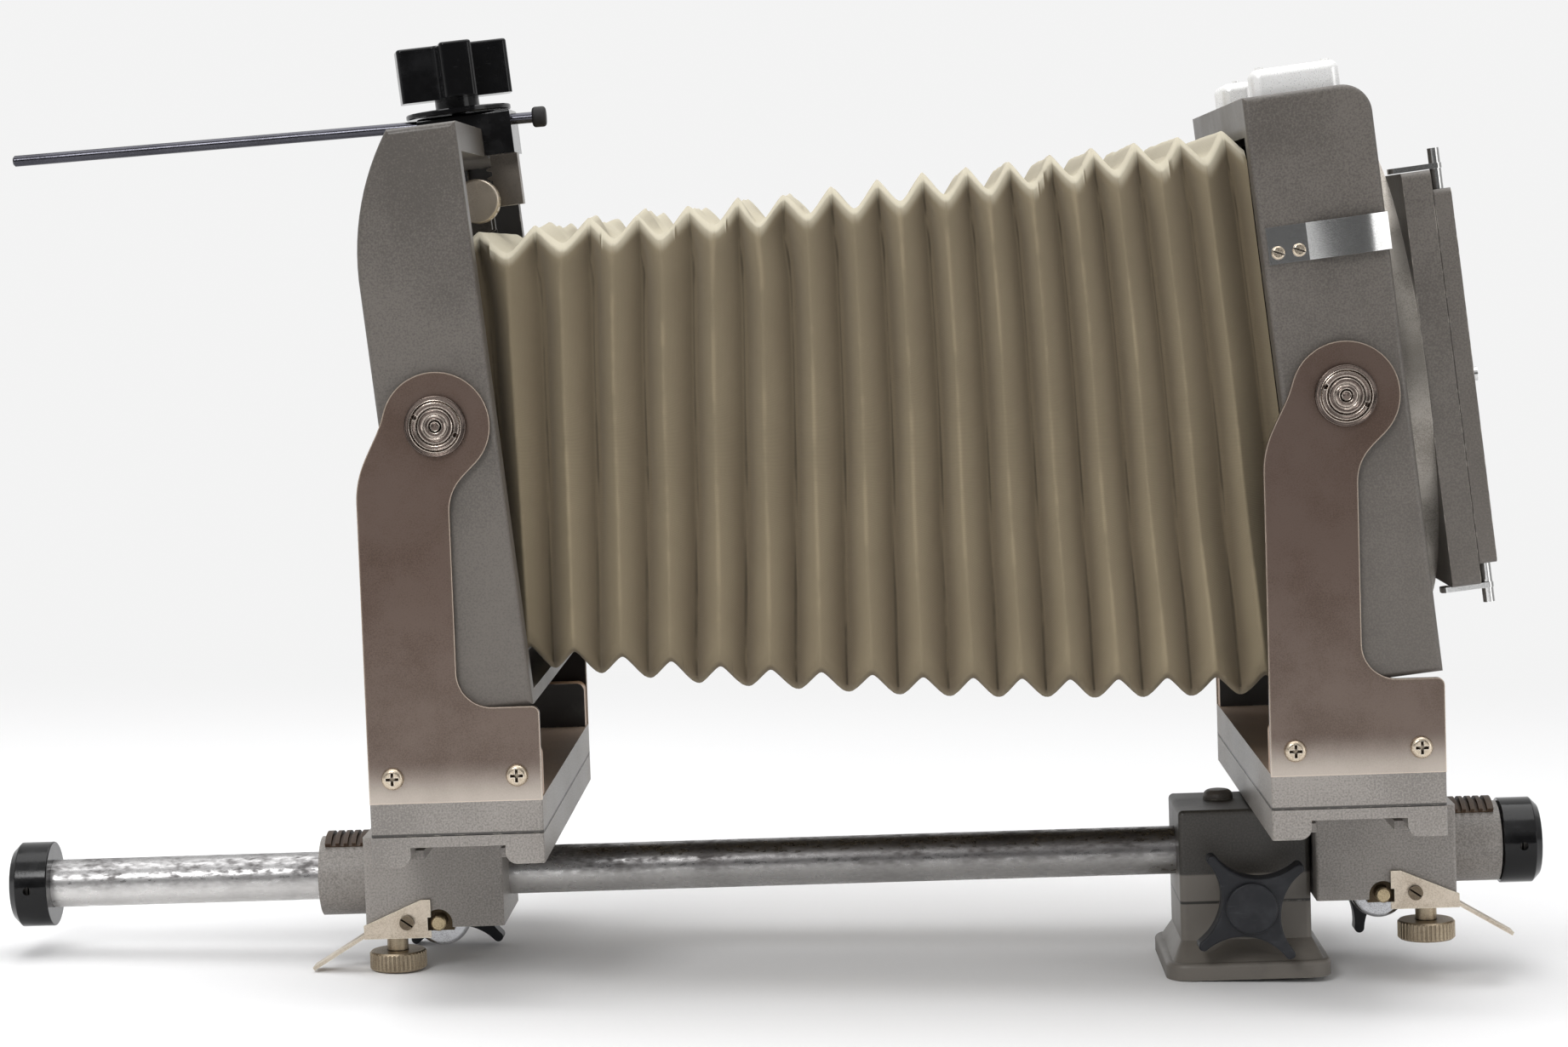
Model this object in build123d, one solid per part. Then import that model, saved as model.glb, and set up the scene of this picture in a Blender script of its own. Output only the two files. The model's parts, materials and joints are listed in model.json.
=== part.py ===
from build123d import *
import os
from math import cos, pi, radians, sin

# A 4x5 inch monorail view camera, in millimetres.
# +X runs along the rail towards the back, +Y from the side with the release levers to the side
# with the focus knobs, +Z up. The origin is the centre of the tripod foot's bottom face.
# Heights named *_rise are measured from the rail's axis.

# ---------------------------------------------------------------- clearances
run_gap = 0.05            # radial, between a shaft and its hole
slide_gap = 0.25          # between flat faces that slide on each other
free_gap = 0.6            # between parts that pass without touching

# ---------------------------------------------------------------- rail and tripod block
rail_diameter = 17.5
rail_wall = 2.0
rail_height = 42.0        # rail axis above the foot's bottom face
rail_length = 552.6
cap_diameter = 31.0
cap_length = 14.2
cap_floor = 3.0
cap_chamfer = 2.6
set_screw_radius = 1.5
set_screw_length = 4.0
set_slot_width = 0.6
set_slot_depth = 0.8

foot_length = 59.0        # along the rail
foot_width = 66.0
foot_plate = 6.0
foot_flare = 6.5
foot_corner = 8.0
foot_step = 2.5           # flare's edge inside the plate's edge
foot_rounding = 1.6
block_length = 47.0
block_width = 44.0
block_split = 26.0        # parting line between foot casting and clamp casting
block_top_rise = 17.6
block_rounding = 2.0
tripod_socket_radius = 4.76
tripod_socket_depth = 14.0
top_bolt_radius = 5.5
top_bolt_x = -6.5
top_bolt_y = 6.0
top_bolt_height = 3.4
top_bolt_depth = 6.0
clamp_stud_radius = 3.0
clamp_stud_height = 27.5
clamp_knob_gap = 12.0     # from the block's face to the knob's hub
clamp_stud_end = -1.0     # Y where the stud ends inside the block
clamp_collar_radius = 4.8
knob_socket = 5.0         # depth of the stud's hole in a knob

star_tip_radius = 23.6
star_waist_radius = 10.6
star_tip_width = 3.6
star_thickness = 8.0
star_hub_radius = 9.2
star_hub_rise = 2.0
clamp_knob_turn = 38.0    # degrees, as the knob stands at rest

# ---------------------------------------------------------------- carriages
carriage_block = 50.0     # length of the square part
carriage_sleeve = 19.2    # length of the round part
carriage_rounding = 1.2
sleeve_diameter = 29.0
carriage_near = 30.0      # block face to the left of the rail axis
carriage_far = 20.0       # block face to the right of it
carriage_bottom_rise = -15.0
carriage_deck_rise = 18.3
front_carriage_inner = -267.0   # the end that faces the tripod block
rear_carriage_gap = 1.0   # between tripod block and rear carriage
rear_cap_gap = 0.5        # between rear carriage and the rail's rear cap
tongue_half = 13.0
tongue_top_rise = 24.8
tongue_lip = 3.0
tongue_lip_height = 2.4
pad_arc = 72.0            # degrees of sleeve that the thumb pad covers
pad_height = 1.9
pad_length = 15.2
pad_ridges = 5
pad_inset = 1.8
pad_floor = 0.5           # pad's thickness between its ridges
pad_groove_share = 0.52   # of the ridges' pitch

shaft_radius = 2.75
shaft_rise = -13.4
shaft_inset = 23.7        # from the inner end of the carriage
shaft_proud = 1.2
shaft_end_chamfer = 0.5
knob_bore = 6.0           # how far the shaft goes into the knob's side
arch_radius = 5.0
arch_depth = 5.0
roller_half = 6.5
disc_radius = 10.3
disc_near = 19.0
disc_thickness = 4.0
disc_rounding = 1.4
bearing_width = 10.0
bearing_thickness = 4.0
bearing_foot = 0.8
bearing_top = 4.2         # above the shaft's axis
bearing_inset = 3.0       # far bearing inside the block's far face
focus_knob_turn = {"front": 45.0, "rear": 5.5}   # degrees, as they stand at rest

lever_length = 24.3
lever_tall = 13.8
lever_low = 4.9
lever_sheet = 1.3
lever_edge = 2.6          # from the shaft's axis to the lever's upright edge
lever_bottom_rise = -18.4
lever_flange = 10.0
lever_tail_length = 22.5
lever_tail_slope = 31.0
lever_tail_width = 8.0
lever_pivot_inset = 11.2  # from the shaft's axis
lever_pivot_rise = -12.6
lever_head_radius = 2.6
lever_head_height = 1.3
lever_slot_width = 0.7
lever_slot_turn = 35.0    # degrees
lever_shank_radius = 1.56
lever_shank_depth = 6.0   # into the block
lever_top = 3.5           # length of the cheek's level top
lever_notch = 1.2         # clears the shaft's end
lever_notch_half = 2.4
lever_web_inset = 3.4
screw_play = 0.05         # radial, where a screw turns in the lever
tension_inset = 16.0      # from the shaft's axis
tension_radius = 10.25
tension_height = 6.8
tension_stem_radius = 3.8
tension_stem_height = 5.4
tension_thread_radius = 2.3
tension_thread_proud = 0.6
tension_offset = 23.5     # from the rail's axis, to the left
tension_flutes = 40
tension_flute_radius = 0.45
tension_rim = 0.4         # plain rim above and below the flutes
tension_chamfer = 0.7

# ---------------------------------------------------------------- cross slides and yokes
standard_half = 29.5      # half the length of shift plate and yoke along the rail
standard_width = 192.0    # over the yoke plates
standard_overhang = 17.75 # from carriage block's centre to the standard's centre
shift_feet_rise = 18.6
shift_top_rise = 28.8
shift_ceiling_rise = 25.1
shift_travel = 25.0
groove_rounding = 4.0
keeper_lift = 0.4         # keepers above the feet's lower faces
keeper_inset = 12.0       # keepers short of the shift plate's ends
swing_post_radius = 9.0
swing_post_proud = 1.0     # above the yoke's floor
swing_nut_radius = 13.0
swing_nut_height = 3.0
swing_slot_width = 2.4
swing_slot_depth = 1.3

yoke_base_rise = 29.05
yoke_floor_rise = 41.0
yoke_lug_rise = 58.0
yoke_lug_thickness = 9.0
yoke_lug_rounding = 3.0
plate_rounding = 1.0      # upright corners of shift plate and yoke base
yoke_plate_thickness = 2.3
yoke_plate_rise = 40.3
yoke_shoulder_rise = 72.4
yoke_arm_width = 31.4
yoke_arm_rise = 143.0
yoke_corner = 2.5
yoke_inner_fillet = 12.0
yoke_screw_spread = 21.2
yoke_screw_rise = 49.0
screw_head_radius = 3.8
screw_head_height = 2.0
screw_shank_radius = 2.0
screw_shank_length = 7.0
recess_width = 1.0
recess_span = 4.4
recess_depth = 1.2

pivot_rise = 168.5
pivot_offset = -1.5       # pivot axis from the standard's centre, along the rail
pivot_eye_radius = 18.3
pivot_shank_radius = 4.0
pivot_head_radius = 10.5
pivot_head_height = 2.4
pivot_rings = ((8.7, 0.5), (6.6, 0.9), (4.3, 0.5), (2.3, 0.9))
spanner_hole_radius = 0.9
spanner_hole_circle = 7.6
spanner_turn = 25.0       # degrees, holes off the level

# ---------------------------------------------------------------- front standard
front_lean = 5.3          # degrees, top towards the front
front_half_depth = 19.8
frame_side_gap = 0.5      # between a frame and the yoke plates
frame_wall = 8.7
front_bottom = -98.2      # heights in a frame's own axes are from its pivot
front_top = 101.0
front_top_edge = -3.8
front_curve_start = 52.0
front_curve_mid = (-14.6, 80.0)
frame_sill = 4.5
front_lintel = 10.0
frame_rounding = 2.0

panel_centre = -14.0      # lens panel's centre at rest
panel_half_height = 75.0
panel_front = 2.0
panel_thickness = 8.0
panel_groove_depth = 3.5
lens_board_size = 101.6
lens_board_thickness = 3.8
lens_board_ledge = 5.5
lens_hole_radius = 20.8

rack_front = 18.6
rack_back = 30.4
rack_width = 7.0
rack_bottom = 73.0
gear_module = 1.0
pinion_teeth = 9
gear_addendum = 0.8
gear_dedendum = 1.1
tooth_share = 0.36        # of the pitch, at the pitch line
tooth_slope = 20.0
pinion_height = 75.5
pinion_ear = 3.0
pinion_ear_above = 4.0    # ear's top above the shaft's axis
pinion_ear_behind = 3.4
pinion_ear_foot = 4.0     # upright part above the panel's edge
pinion_ear_slant = 6.0
pinion_knob_radius = 8.0
pinion_knob_length = 7.0
pinion_shaft_radius = 2.0
pinion_flutes = 20
pinion_flute_radius = 0.65

clamp_block_back = 30.6
clamp_block_front = -3.0
clamp_block_half = 13.0
clamp_block_bottom = 91.4
clamp_block_top = 107.3
rod_radius = 2.0
rod_length = 189.0
rod_behind = 27.0         # rod end behind the clamp screw's axis
rod_slope = 2.55          # degrees, down towards the back in the frame's axes
rod_height = 104.3
rod_offset = 6.5          # rod to the left of the clamp screw
rod_cap_radius = 3.7
rod_cap_length = 5.0
top_knob_x = 11.0
top_washer_radius = 19.0
top_washer_height = 2.0
top_hub_radius = 8.0
top_hub_height = 4.0
top_lobe_height = 19.5
top_lobe_reach = 20.0
top_lobe_width = 11.5
top_stud_radius = 2.5
top_knob_turn = 12.0      # degrees, as the knob stands at rest

# ---------------------------------------------------------------- rear standard
rear_lean = 5.9
rear_half_depth = 21.3
rear_bottom = -97.0
rear_top = 103.0
rear_round = 10.0
rear_wall = 6.0           # back wall that carries the revolving ring
rear_side_wall = 8.7
throat_half_height = 90.0
ring_side_gap = 1.0       # from the keeper to the frame's side walls
ring_keeper_lip = 3.5     # keeper beyond the hole it hooks behind
ring_keeper_thickness = 2.5
ring_flange = 4.0         # outer ring beyond that hole
ring_tube_wall = 2.5
ring_reach = 8.2          # behind the frame's back wall
back_opening_half_width = 60.5
back_opening_half_height = 47.5
back_side_margin = 2.5    # back panel wider than the ring's neck, each side
back_half_height = 70.8
back_thickness = 9.8
back_rounding = 2.5
glass_frame_half_height = 64.0
glass_frame_side_step = 0.5   # glass frame narrower than the back panel, each side
glass_frame_thickness = 6.0
glass_frame_rounding = 2.0
glass_half_width = 66.0
glass_half_height = 53.0
glass_thickness = 2.4
glass_play = 0.1
arm_inset = 9.0           # spring arms from the glass frame's ends
arm_width = 7.0
arm_thickness = 1.8
arm_overlap = 3.0         # arms reach over the back panel's front face
arm_back_inset = 1.0      # and stop short of the glass frame's back face
arm_rounding = 2.0
arm_pin_radius = 2.0
arm_pin_length = 18.0
arm_pin_seat = 4.0        # pin's depth in the glass frame
leaf_thickness = 0.8
leaf_half_length = 48.0
leaf_width = 9.0
leaf_rounding = 2.0
leaf_screw_radius = 2.4
leaf_screw_height = 1.6
level_length = 30.0
level_width = 12.0
level_height = 9.0
level_vial_radius = 2.6
level_vial_length = 15.0
level_front = -17.0       # front end of both housings in the frame's axes
level_near_y = -80.0
level_far_y = 28.0
clip_length = 41.0
clip_height = 12.5
clip_sheet = 1.0
clip_bow = 3.2
clip_low = 46.5
clip_front = -19.3
clip_foot = 13.5
clip_screw_radius = 2.3
clip_screw_height = 1.1
clip_screw_shank = 1.2
clip_screw_inset = 3.2
clip_slot_turn = 25.0     # degrees

# ---------------------------------------------------------------- bellows
bellows_front_gap = 9.5                # from the front frame's side walls
bellows_front_half_height = 75.0
bellows_rear_gap = 1.5                 # from the rear frame's side walls
bellows_rear_half_height = 96.3
bellows_rear_centre = -0.3
bellows_depth = 10.0                   # from fold ridge to fold valley

# ---------------------------------------------------------------- derived places
rail_radius = rail_diameter / 2
shift_groove_half = tongue_half + tongue_lip + slide_gap
block_half = block_length / 2
rear_carriage_inner = block_half + rear_carriage_gap
rear_carriage_end = rear_carriage_inner + carriage_block + carriage_sleeve
rail_back = rear_carriage_end + rear_cap_gap + cap_length - cap_floor
rail_front = rail_back - rail_length
half_width = standard_width / 2
plate_inner = half_width - yoke_plate_thickness
frame_half_width = plate_inner - frame_side_gap
frame_inner = frame_half_width - frame_wall
throat_half_width = frame_half_width - rear_side_wall
ring_keeper_radius = throat_half_width - ring_side_gap
ring_neck_radius = ring_keeper_radius - ring_keeper_lip
ring_outer_radius = ring_neck_radius + ring_flange
ring_bore_radius = ring_neck_radius - ring_tube_wall
back_half_width = ring_neck_radius + back_side_margin
glass_frame_half_width = back_half_width - glass_frame_side_step
bellows_front_half = (frame_inner - bellows_front_gap, bellows_front_half_height)
bellows_rear_half = (throat_half_width - bellows_rear_gap, bellows_rear_half_height)
pivot_height = rail_height + pivot_rise


def sorted_pair(a, b):
    return (min(a, b), max(a, b))


def block_between(x, y, z):
    """A box from three (low, high) pairs."""
    size = [high - low for low, high in (x, y, z)]
    centre = [(high + low) / 2 for low, high in (x, y, z)]
    return Pos(*centre) * Box(*size)


def bar_x(radius, x, y=0.0, z=0.0):
    """A round bar along X, from x[0] to x[1]."""
    return Pos((x[0] + x[1]) / 2, y, z) * Rot(0, 90, 0) * Cylinder(radius, x[1] - x[0])


def bar_y(radius, y, x=0.0, z=0.0):
    """A round bar along Y, from y[0] to y[1]."""
    return Pos(x, (y[0] + y[1]) / 2, z) * Rot(90, 0, 0) * Cylinder(radius, y[1] - y[0])


def bar_z(radius, z, x=0.0, y=0.0):
    """A round bar along Z, from z[0] to z[1]."""
    return Pos(x, y, (z[0] + z[1]) / 2) * Cylinder(radius, z[1] - z[0])


def across(outline, y):
    """An outline drawn in X and Z, extruded from y[0] to y[1]."""
    return extrude(Plane.XZ.offset(-y[1]) * outline, amount=y[1] - y[0])


def along(outline, x):
    """An outline drawn in Y and Z, extruded from x[0] to x[1]."""
    return extrude(Plane.YZ.offset(x[0]) * outline, amount=x[1] - x[0])


def both(half):
    return (-half, half)


def outline(points):
    """A face with straight sides."""
    return make_face(Polyline(*points, close=True))


def star_outline():
    """Four blunt tips joined by hollow sides."""
    arms = 4
    half = star_tip_width / 2
    reach = star_tip_radius - half
    edges = []
    for arm in range(arms):
        here = radians(360 / arms * arm)
        after = radians(360 / arms * (arm + 1))
        middle = (here + after) / 2
        out = Vector(cos(here), sin(here))
        left = Vector(-sin(here), cos(here))
        next_out = Vector(cos(after), sin(after))
        next_left = Vector(-sin(after), cos(after))
        start = out * reach + left * half
        end = next_out * reach - next_left * half
        waist = Vector(cos(middle), sin(middle)) * star_waist_radius
        edges.append(ThreePointArc(out * reach - left * half, out * star_tip_radius, start))
        edges.append(ThreePointArc(start, waist, end))
    return make_face(edges)


def star_knob(turn):
    """A star knob with its hub's face at Z = 0 and its grip above, turned about Z."""
    grip = extrude(star_outline(), amount=star_thickness)
    grip = fillet(grip.faces().sort_by(Axis.Z)[-1].edges(), 0.8)
    hub = bar_z(star_hub_radius, (0, star_thickness + star_hub_rise))
    hub = fillet(hub.faces().sort_by(Axis.Z)[-1].edges(), 0.9)
    return Rot(0, 0, turn) * (grip + hub)


def cross_screw():
    """A pan-head screw, its head's seat at Z = 0 and its shank below."""
    head = bar_z(screw_head_radius, (0, screw_head_height))
    head = fillet(head.faces().sort_by(Axis.Z)[-1].edges(), screw_head_height * 0.8)
    deep = (screw_head_height - recess_depth, screw_head_height + 1)
    slot = both(recess_width / 2)
    span = both(recess_span / 2)
    recess = block_between(slot, span, deep) + block_between(span, slot, deep)
    return head + bar_z(screw_shank_radius, (-screw_shank_length, 0)) - recess


# ================================================================ tripod block and rail
def tripod_foot():
    plate = extrude(RectangleRounded(foot_length, foot_width, foot_corner), amount=foot_plate)
    plate = fillet(plate.faces().sort_by(Axis.Z)[-1].edges(), foot_rounding)
    inset = 2 * foot_step
    step = RectangleRounded(foot_length - inset, foot_width - inset, foot_corner - foot_step)
    column = RectangleRounded(block_length, block_width, block_rounding)
    flare = loft([Pos(0, 0, foot_plate) * step, Pos(0, 0, foot_plate + foot_flare) * column])
    post = extrude(column, amount=block_split)
    foot = plate + flare + post
    foot -= bar_z(tripod_socket_radius, (0, tripod_socket_depth))
    stud_hole = bar_y(clamp_stud_radius + run_gap, (-block_width, 0), z=clamp_stud_height)
    return foot - stud_hole


def rail_clamp():
    top = rail_height + block_top_rise
    body = extrude(
        Pos(0, 0, block_split) * RectangleRounded(block_length, block_width, block_rounding),
        amount=top - block_split,
    )
    body = fillet(body.faces().sort_by(Axis.Z)[-1].edges(), block_rounding * 0.9)
    body -= bar_x(rail_radius + run_gap, (-block_length, block_length), z=rail_height)
    body -= bar_y(clamp_stud_radius + run_gap, (-block_width, 0), z=clamp_stud_height)
    shank = bar_z(screw_shank_radius, (top - top_bolt_depth, top + 1), top_bolt_x, top_bolt_y)
    return body - shank


def block_top_bolt():
    top = rail_height + block_top_rise
    head = bar_z(top_bolt_radius, (top, top + top_bolt_height), top_bolt_x, top_bolt_y)
    head = fillet(head.faces().sort_by(Axis.Z)[-1].edges(), top_bolt_height * 0.75)
    return head + bar_z(screw_shank_radius, (top - top_bolt_depth, top), top_bolt_x, top_bolt_y)


def clamp_parts():
    face = -block_width / 2
    hub = face - clamp_knob_gap
    place = Pos(0, hub, clamp_stud_height) * Rot(90, 0, 0)
    knob = place * star_knob(clamp_knob_turn)
    knob -= bar_y(clamp_stud_radius, (hub - knob_socket, hub), z=clamp_stud_height)
    collar = bar_y(clamp_collar_radius, (hub, face - slide_gap), z=clamp_stud_height)
    stud = bar_y(clamp_stud_radius, (hub - knob_socket, clamp_stud_end), z=clamp_stud_height) + collar
    return {"clamp_star_knob": knob, "clamp_stud": stud}


def rail_tube():
    ends = (rail_front, rail_back)
    return bar_x(rail_radius, ends, z=rail_height) - bar_x(
        rail_radius - rail_wall, (ends[0] - 1, ends[1] + 1), z=rail_height
    )


def rail_cap(outer_x, inward):
    """An end cap; inward is +1 where the tube leaves it towards +X."""
    span = sorted((outer_x, outer_x + inward * cap_length))
    body = bar_x(cap_diameter / 2, span, z=rail_height)
    outer_face = body.faces().filter_by(Axis.X).sort_by(Axis.X)[0 if inward > 0 else -1]
    body = fillet(chamfer(outer_face.edges(), cap_chamfer).edges().filter_by(GeomType.CIRCLE), 0.5)
    bore = sorted((outer_x + inward * cap_floor, outer_x + inward * (cap_length + 1)))
    body -= bar_x(rail_radius, bore, z=rail_height)
    return body - cap_screw_hole(outer_x, inward)


def cap_screw_hole(outer_x, inward):
    x = outer_x + inward * cap_length / 2
    return bar_y(set_screw_radius, (-cap_diameter, -rail_radius), x, rail_height)


def cap_set_screw(outer_x, inward):
    x = outer_x + inward * cap_length / 2
    low = -rail_radius - set_screw_length
    screw = bar_y(set_screw_radius, (low, -rail_radius), x, rail_height)
    slot = Box(set_slot_width, 2 * set_slot_depth, 4 * set_screw_radius)
    return screw - Pos(x, low, rail_height) * slot


# ================================================================ carriages
class Carriage:
    """The parts that ride on the rail at one end. Outward points away from the tripod block."""

    def __init__(self, name, inner_x, outward):
        self.name = name
        self.inner = inner_x
        self.outward = outward
        self.shaft_x = self.at(shaft_inset)
        self.centre_x = self.at(carriage_block / 2 - standard_overhang)

    def at(self, distance):
        """X at a distance from the carriage's inner end."""
        return self.inner + self.outward * distance

    def span(self, near, far):
        return tuple(sorted((self.at(near), self.at(far))))

    def block(self):
        side = (-carriage_near, carriage_far)
        z = rail_height
        end = carriage_block + carriage_sleeve
        tall = (z + carriage_bottom_rise, z + carriage_deck_rise)
        body = block_between(self.span(0, carriage_block), side, tall)
        body = fillet(body.edges().filter_by(Axis.Z), carriage_rounding)
        body += bar_x(sleeve_diameter / 2, self.span(carriage_block - 1, end), z=z)
        tongue = (self.centre_x - tongue_half, self.centre_x + tongue_half)
        lip = (tongue[0] - tongue_lip, tongue[1] + tongue_lip)
        lip_low = z + tongue_top_rise - tongue_lip_height
        body += block_between(tongue, side, (z + carriage_deck_rise - 0.1, lip_low + 0.1))
        body += block_between(lip, side, (lip_low, z + tongue_top_rise))
        body -= bar_x(rail_radius + run_gap, self.span(-1, end + 1), z=z)
        return body - self.drive_cavity() - self.lever_hole()

    def drive_cavity(self):
        """Room below the rail for the roller, the disc and the bearings, open downwards."""
        x = self.shaft_x
        z = rail_height + shaft_rise
        floor = rail_height + carriage_bottom_rise - 1
        disc_side = (-disc_near - free_gap, -disc_near + disc_thickness + free_gap)
        slots = [
            (roller_radius() + free_gap, both(roller_half + free_gap)),
            (arch_radius, (-carriage_near - 1, -carriage_near + arch_depth)),
            (shaft_radius + run_gap, (-carriage_near - 1, carriage_far + 1)),
        ]
        cut = bar_y(disc_radius + free_gap, disc_side, x, z)
        for half, side in slots:
            cut += bar_y(half, side, x, z)
            cut += block_between((x - half, x + half), side, (floor, z))
        half = bearing_width / 2
        for side in bearing_sides():
            cut += block_between((x - half, x + half), side, (floor, z + bearing_top))
        return cut

    def bearings(self):
        x = self.shaft_x
        z = rail_height + shaft_rise
        bore = bar_y(shaft_radius + run_gap, (-carriage_near, carriage_far), x, z)
        tall = (z - shaft_radius - run_gap - bearing_foot, z + bearing_top)
        wide = (x - bearing_width / 2, x + bearing_width / 2)
        return [block_between(wide, side, tall) - bore for side in bearing_sides()]

    def thumb_pad(self):
        """A ridged saddle on top of the sleeve."""
        inner = sleeve_diameter / 2
        outer = inner + pad_height
        start = carriage_block + pad_inset
        x = self.span(start, start + pad_length)
        past = (x[0] - 1, x[1] + 1)
        ring = bar_x(outer, x, z=rail_height) - bar_x(inner, past, z=rail_height)
        half = radians(pad_arc / 2)
        side = 2 * inner * sin(half)
        top = 2 * inner * cos(half)
        wedge = outline([(0, 0), (-side, top), (side, top)])
        pad = ring & (Pos(0, 0, rail_height) * along(wedge, past))
        pitch = pad_length / pad_ridges
        floor = inner + pad_floor
        for ridge in range(1, pad_ridges):
            middle = x[0] + pitch * ridge
            groove = (middle - pitch * pad_groove_share / 2, middle + pitch * pad_groove_share / 2)
            pad -= bar_x(outer + 1, groove, z=rail_height) - bar_x(floor, groove, z=rail_height)
        return pad

    def shaft(self):
        x = self.shaft_x
        z = rail_height + shaft_rise
        body = bar_y(shaft_radius, (-carriage_near - shaft_proud, carriage_far + knob_bore), x, z)
        body = chamfer(body.faces().sort_by(Axis.Y)[0].edges(), shaft_end_chamfer)
        return body + bar_y(roller_radius(), both(roller_half), x, z)

    def disc(self):
        x = self.shaft_x
        z = rail_height + shaft_rise
        body = bar_y(disc_radius, (-disc_near, -disc_near + disc_thickness), x, z)
        body = fillet(body.faces().sort_by(Axis.Y)[0].edges(), disc_rounding)
        return body - bar_y(shaft_radius, (-carriage_near, 0), x, z)

    def focus_knob(self):
        x = self.shaft_x
        z = rail_height + shaft_rise
        place = Pos(x, carriage_far + free_gap, z) * Rot(-90, 0, 0)
        knob = place * star_knob(focus_knob_turn[self.name])
        return knob - bar_y(shaft_radius, (carriage_far, carriage_far + knob_bore), x, z)

    def out(self, x):
        """X at a distance from the shaft's axis, away from the tripod block."""
        return self.shaft_x + self.outward * x

    def out_span(self, near, far):
        return tuple(sorted((self.out(near), self.out(far))))

    def release_lever(self):
        """A triangular cheek beside the block, a web below it and a thumb tail."""
        z = rail_height + lever_bottom_rise
        near = -carriage_near - slide_gap
        outer = near - lever_sheet
        far_end = lever_edge + lever_length
        cheek = outline(
            [
                (self.out(lever_edge), z),
                (self.out(lever_edge), z + lever_tall),
                (self.out(lever_edge + lever_top), z + lever_tall),
                (self.out(far_end), z + lever_low),
                (self.out(far_end), z),
            ]
        )
        body = across(cheek, (outer, near))
        notch = self.out_span(lever_edge - 1, lever_edge + lever_notch)
        shaft_z = rail_height + shaft_rise
        notch_tall = (shaft_z - lever_notch_half, shaft_z + lever_notch_half)
        body -= block_between(notch, (outer - 1, near + 1), notch_tall)
        web = self.out_span(lever_edge + lever_web_inset, far_end)
        body += block_between(web, (near, near + lever_flange), (z, z + lever_sheet))
        tail = block_between((0, lever_tail_length), (0, lever_tail_width), (0, lever_sheet))
        turn = Rot(0, lever_tail_slope, 0)
        if self.outward < 0:
            turn = Rot(0, 0, 180) * turn * Pos(0, -lever_tail_width, 0)
        body += Pos(self.out(far_end - 0.8), outer, z + 0.8) * turn * tail
        body -= self.lever_pivot(screw_play, (outer - 1, near + 1))
        stem = tension_thread_radius + screw_play
        return body - bar_z(stem, (z - 1, z + lever_sheet + 1), self.out(tension_inset), -tension_offset)

    def lever_pivot(self, play, y):
        """The pivot screw's shank, or with play the hole that turns on it."""
        place = (self.out(lever_pivot_inset), rail_height + lever_pivot_rise)
        return bar_y(lever_shank_radius + play, y, *place)

    def lever_hole(self):
        return self.lever_pivot(0, (-carriage_near - 1, -carriage_near + lever_shank_depth))

    def lever_pivot_screw(self):
        x = self.out(lever_pivot_inset)
        z = rail_height + lever_pivot_rise
        seat = -carriage_near - 2 * slide_gap - lever_sheet
        front = seat - lever_head_height
        head = bar_y(lever_head_radius, (front, seat), x, z)
        slot = Box(3 * lever_head_radius, lever_head_height, lever_slot_width)
        slot = Pos(x, front, z) * Rot(0, lever_slot_turn, 0) * slot
        return head - slot + self.lever_pivot(0, (seat, -carriage_near + lever_shank_depth))

    def tension_screw(self):
        """A fluted thumb screw that hangs from the lever's web."""
        x = self.out(tension_inset)
        y = -tension_offset
        web = rail_height + lever_bottom_rise
        top = web - tension_stem_height
        low = top - tension_height
        knob = bar_z(tension_radius, (low, top), x, y)
        knob = chamfer(knob.edges().filter_by(GeomType.CIRCLE), tension_chamfer)
        reach = tension_radius + tension_flute_radius / 4
        for flute in range(tension_flutes):
            angle = 2 * pi * flute / tension_flutes
            place = (x + reach * cos(angle), y + reach * sin(angle))
            knob -= bar_z(tension_flute_radius, (low + tension_rim, top - tension_rim), *place)
        stem = bar_z(tension_stem_radius, (top, web - slide_gap), x, y)
        thread_top = web + lever_sheet + tension_thread_proud
        return knob + stem + bar_z(tension_thread_radius, (web - slide_gap, thread_top), x, y)

    def parts(self):
        n = self.name
        return {
            n + "_carriage_block": self.block(),
            n + "_thumb_pad": self.thumb_pad(),
            n + "_shaft_bearings": self.bearings(),
            n + "_focus_shaft": self.shaft(),
            n + "_drive_disc": self.disc(),
            n + "_focus_knob": self.focus_knob(),
            n + "_release_lever": self.release_lever(),
            n + "_lever_pivot_screw": self.lever_pivot_screw(),
            n + "_tension_screw": self.tension_screw(),
        }


def roller_radius():
    """The roller just meets the underside of the rail."""
    return -shaft_rise - rail_radius - run_gap


def bearing_sides():
    near = -carriage_near + arch_depth
    far = carriage_far - bearing_inset
    return [(near, near + bearing_thickness), (far - bearing_thickness, far)]


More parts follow.
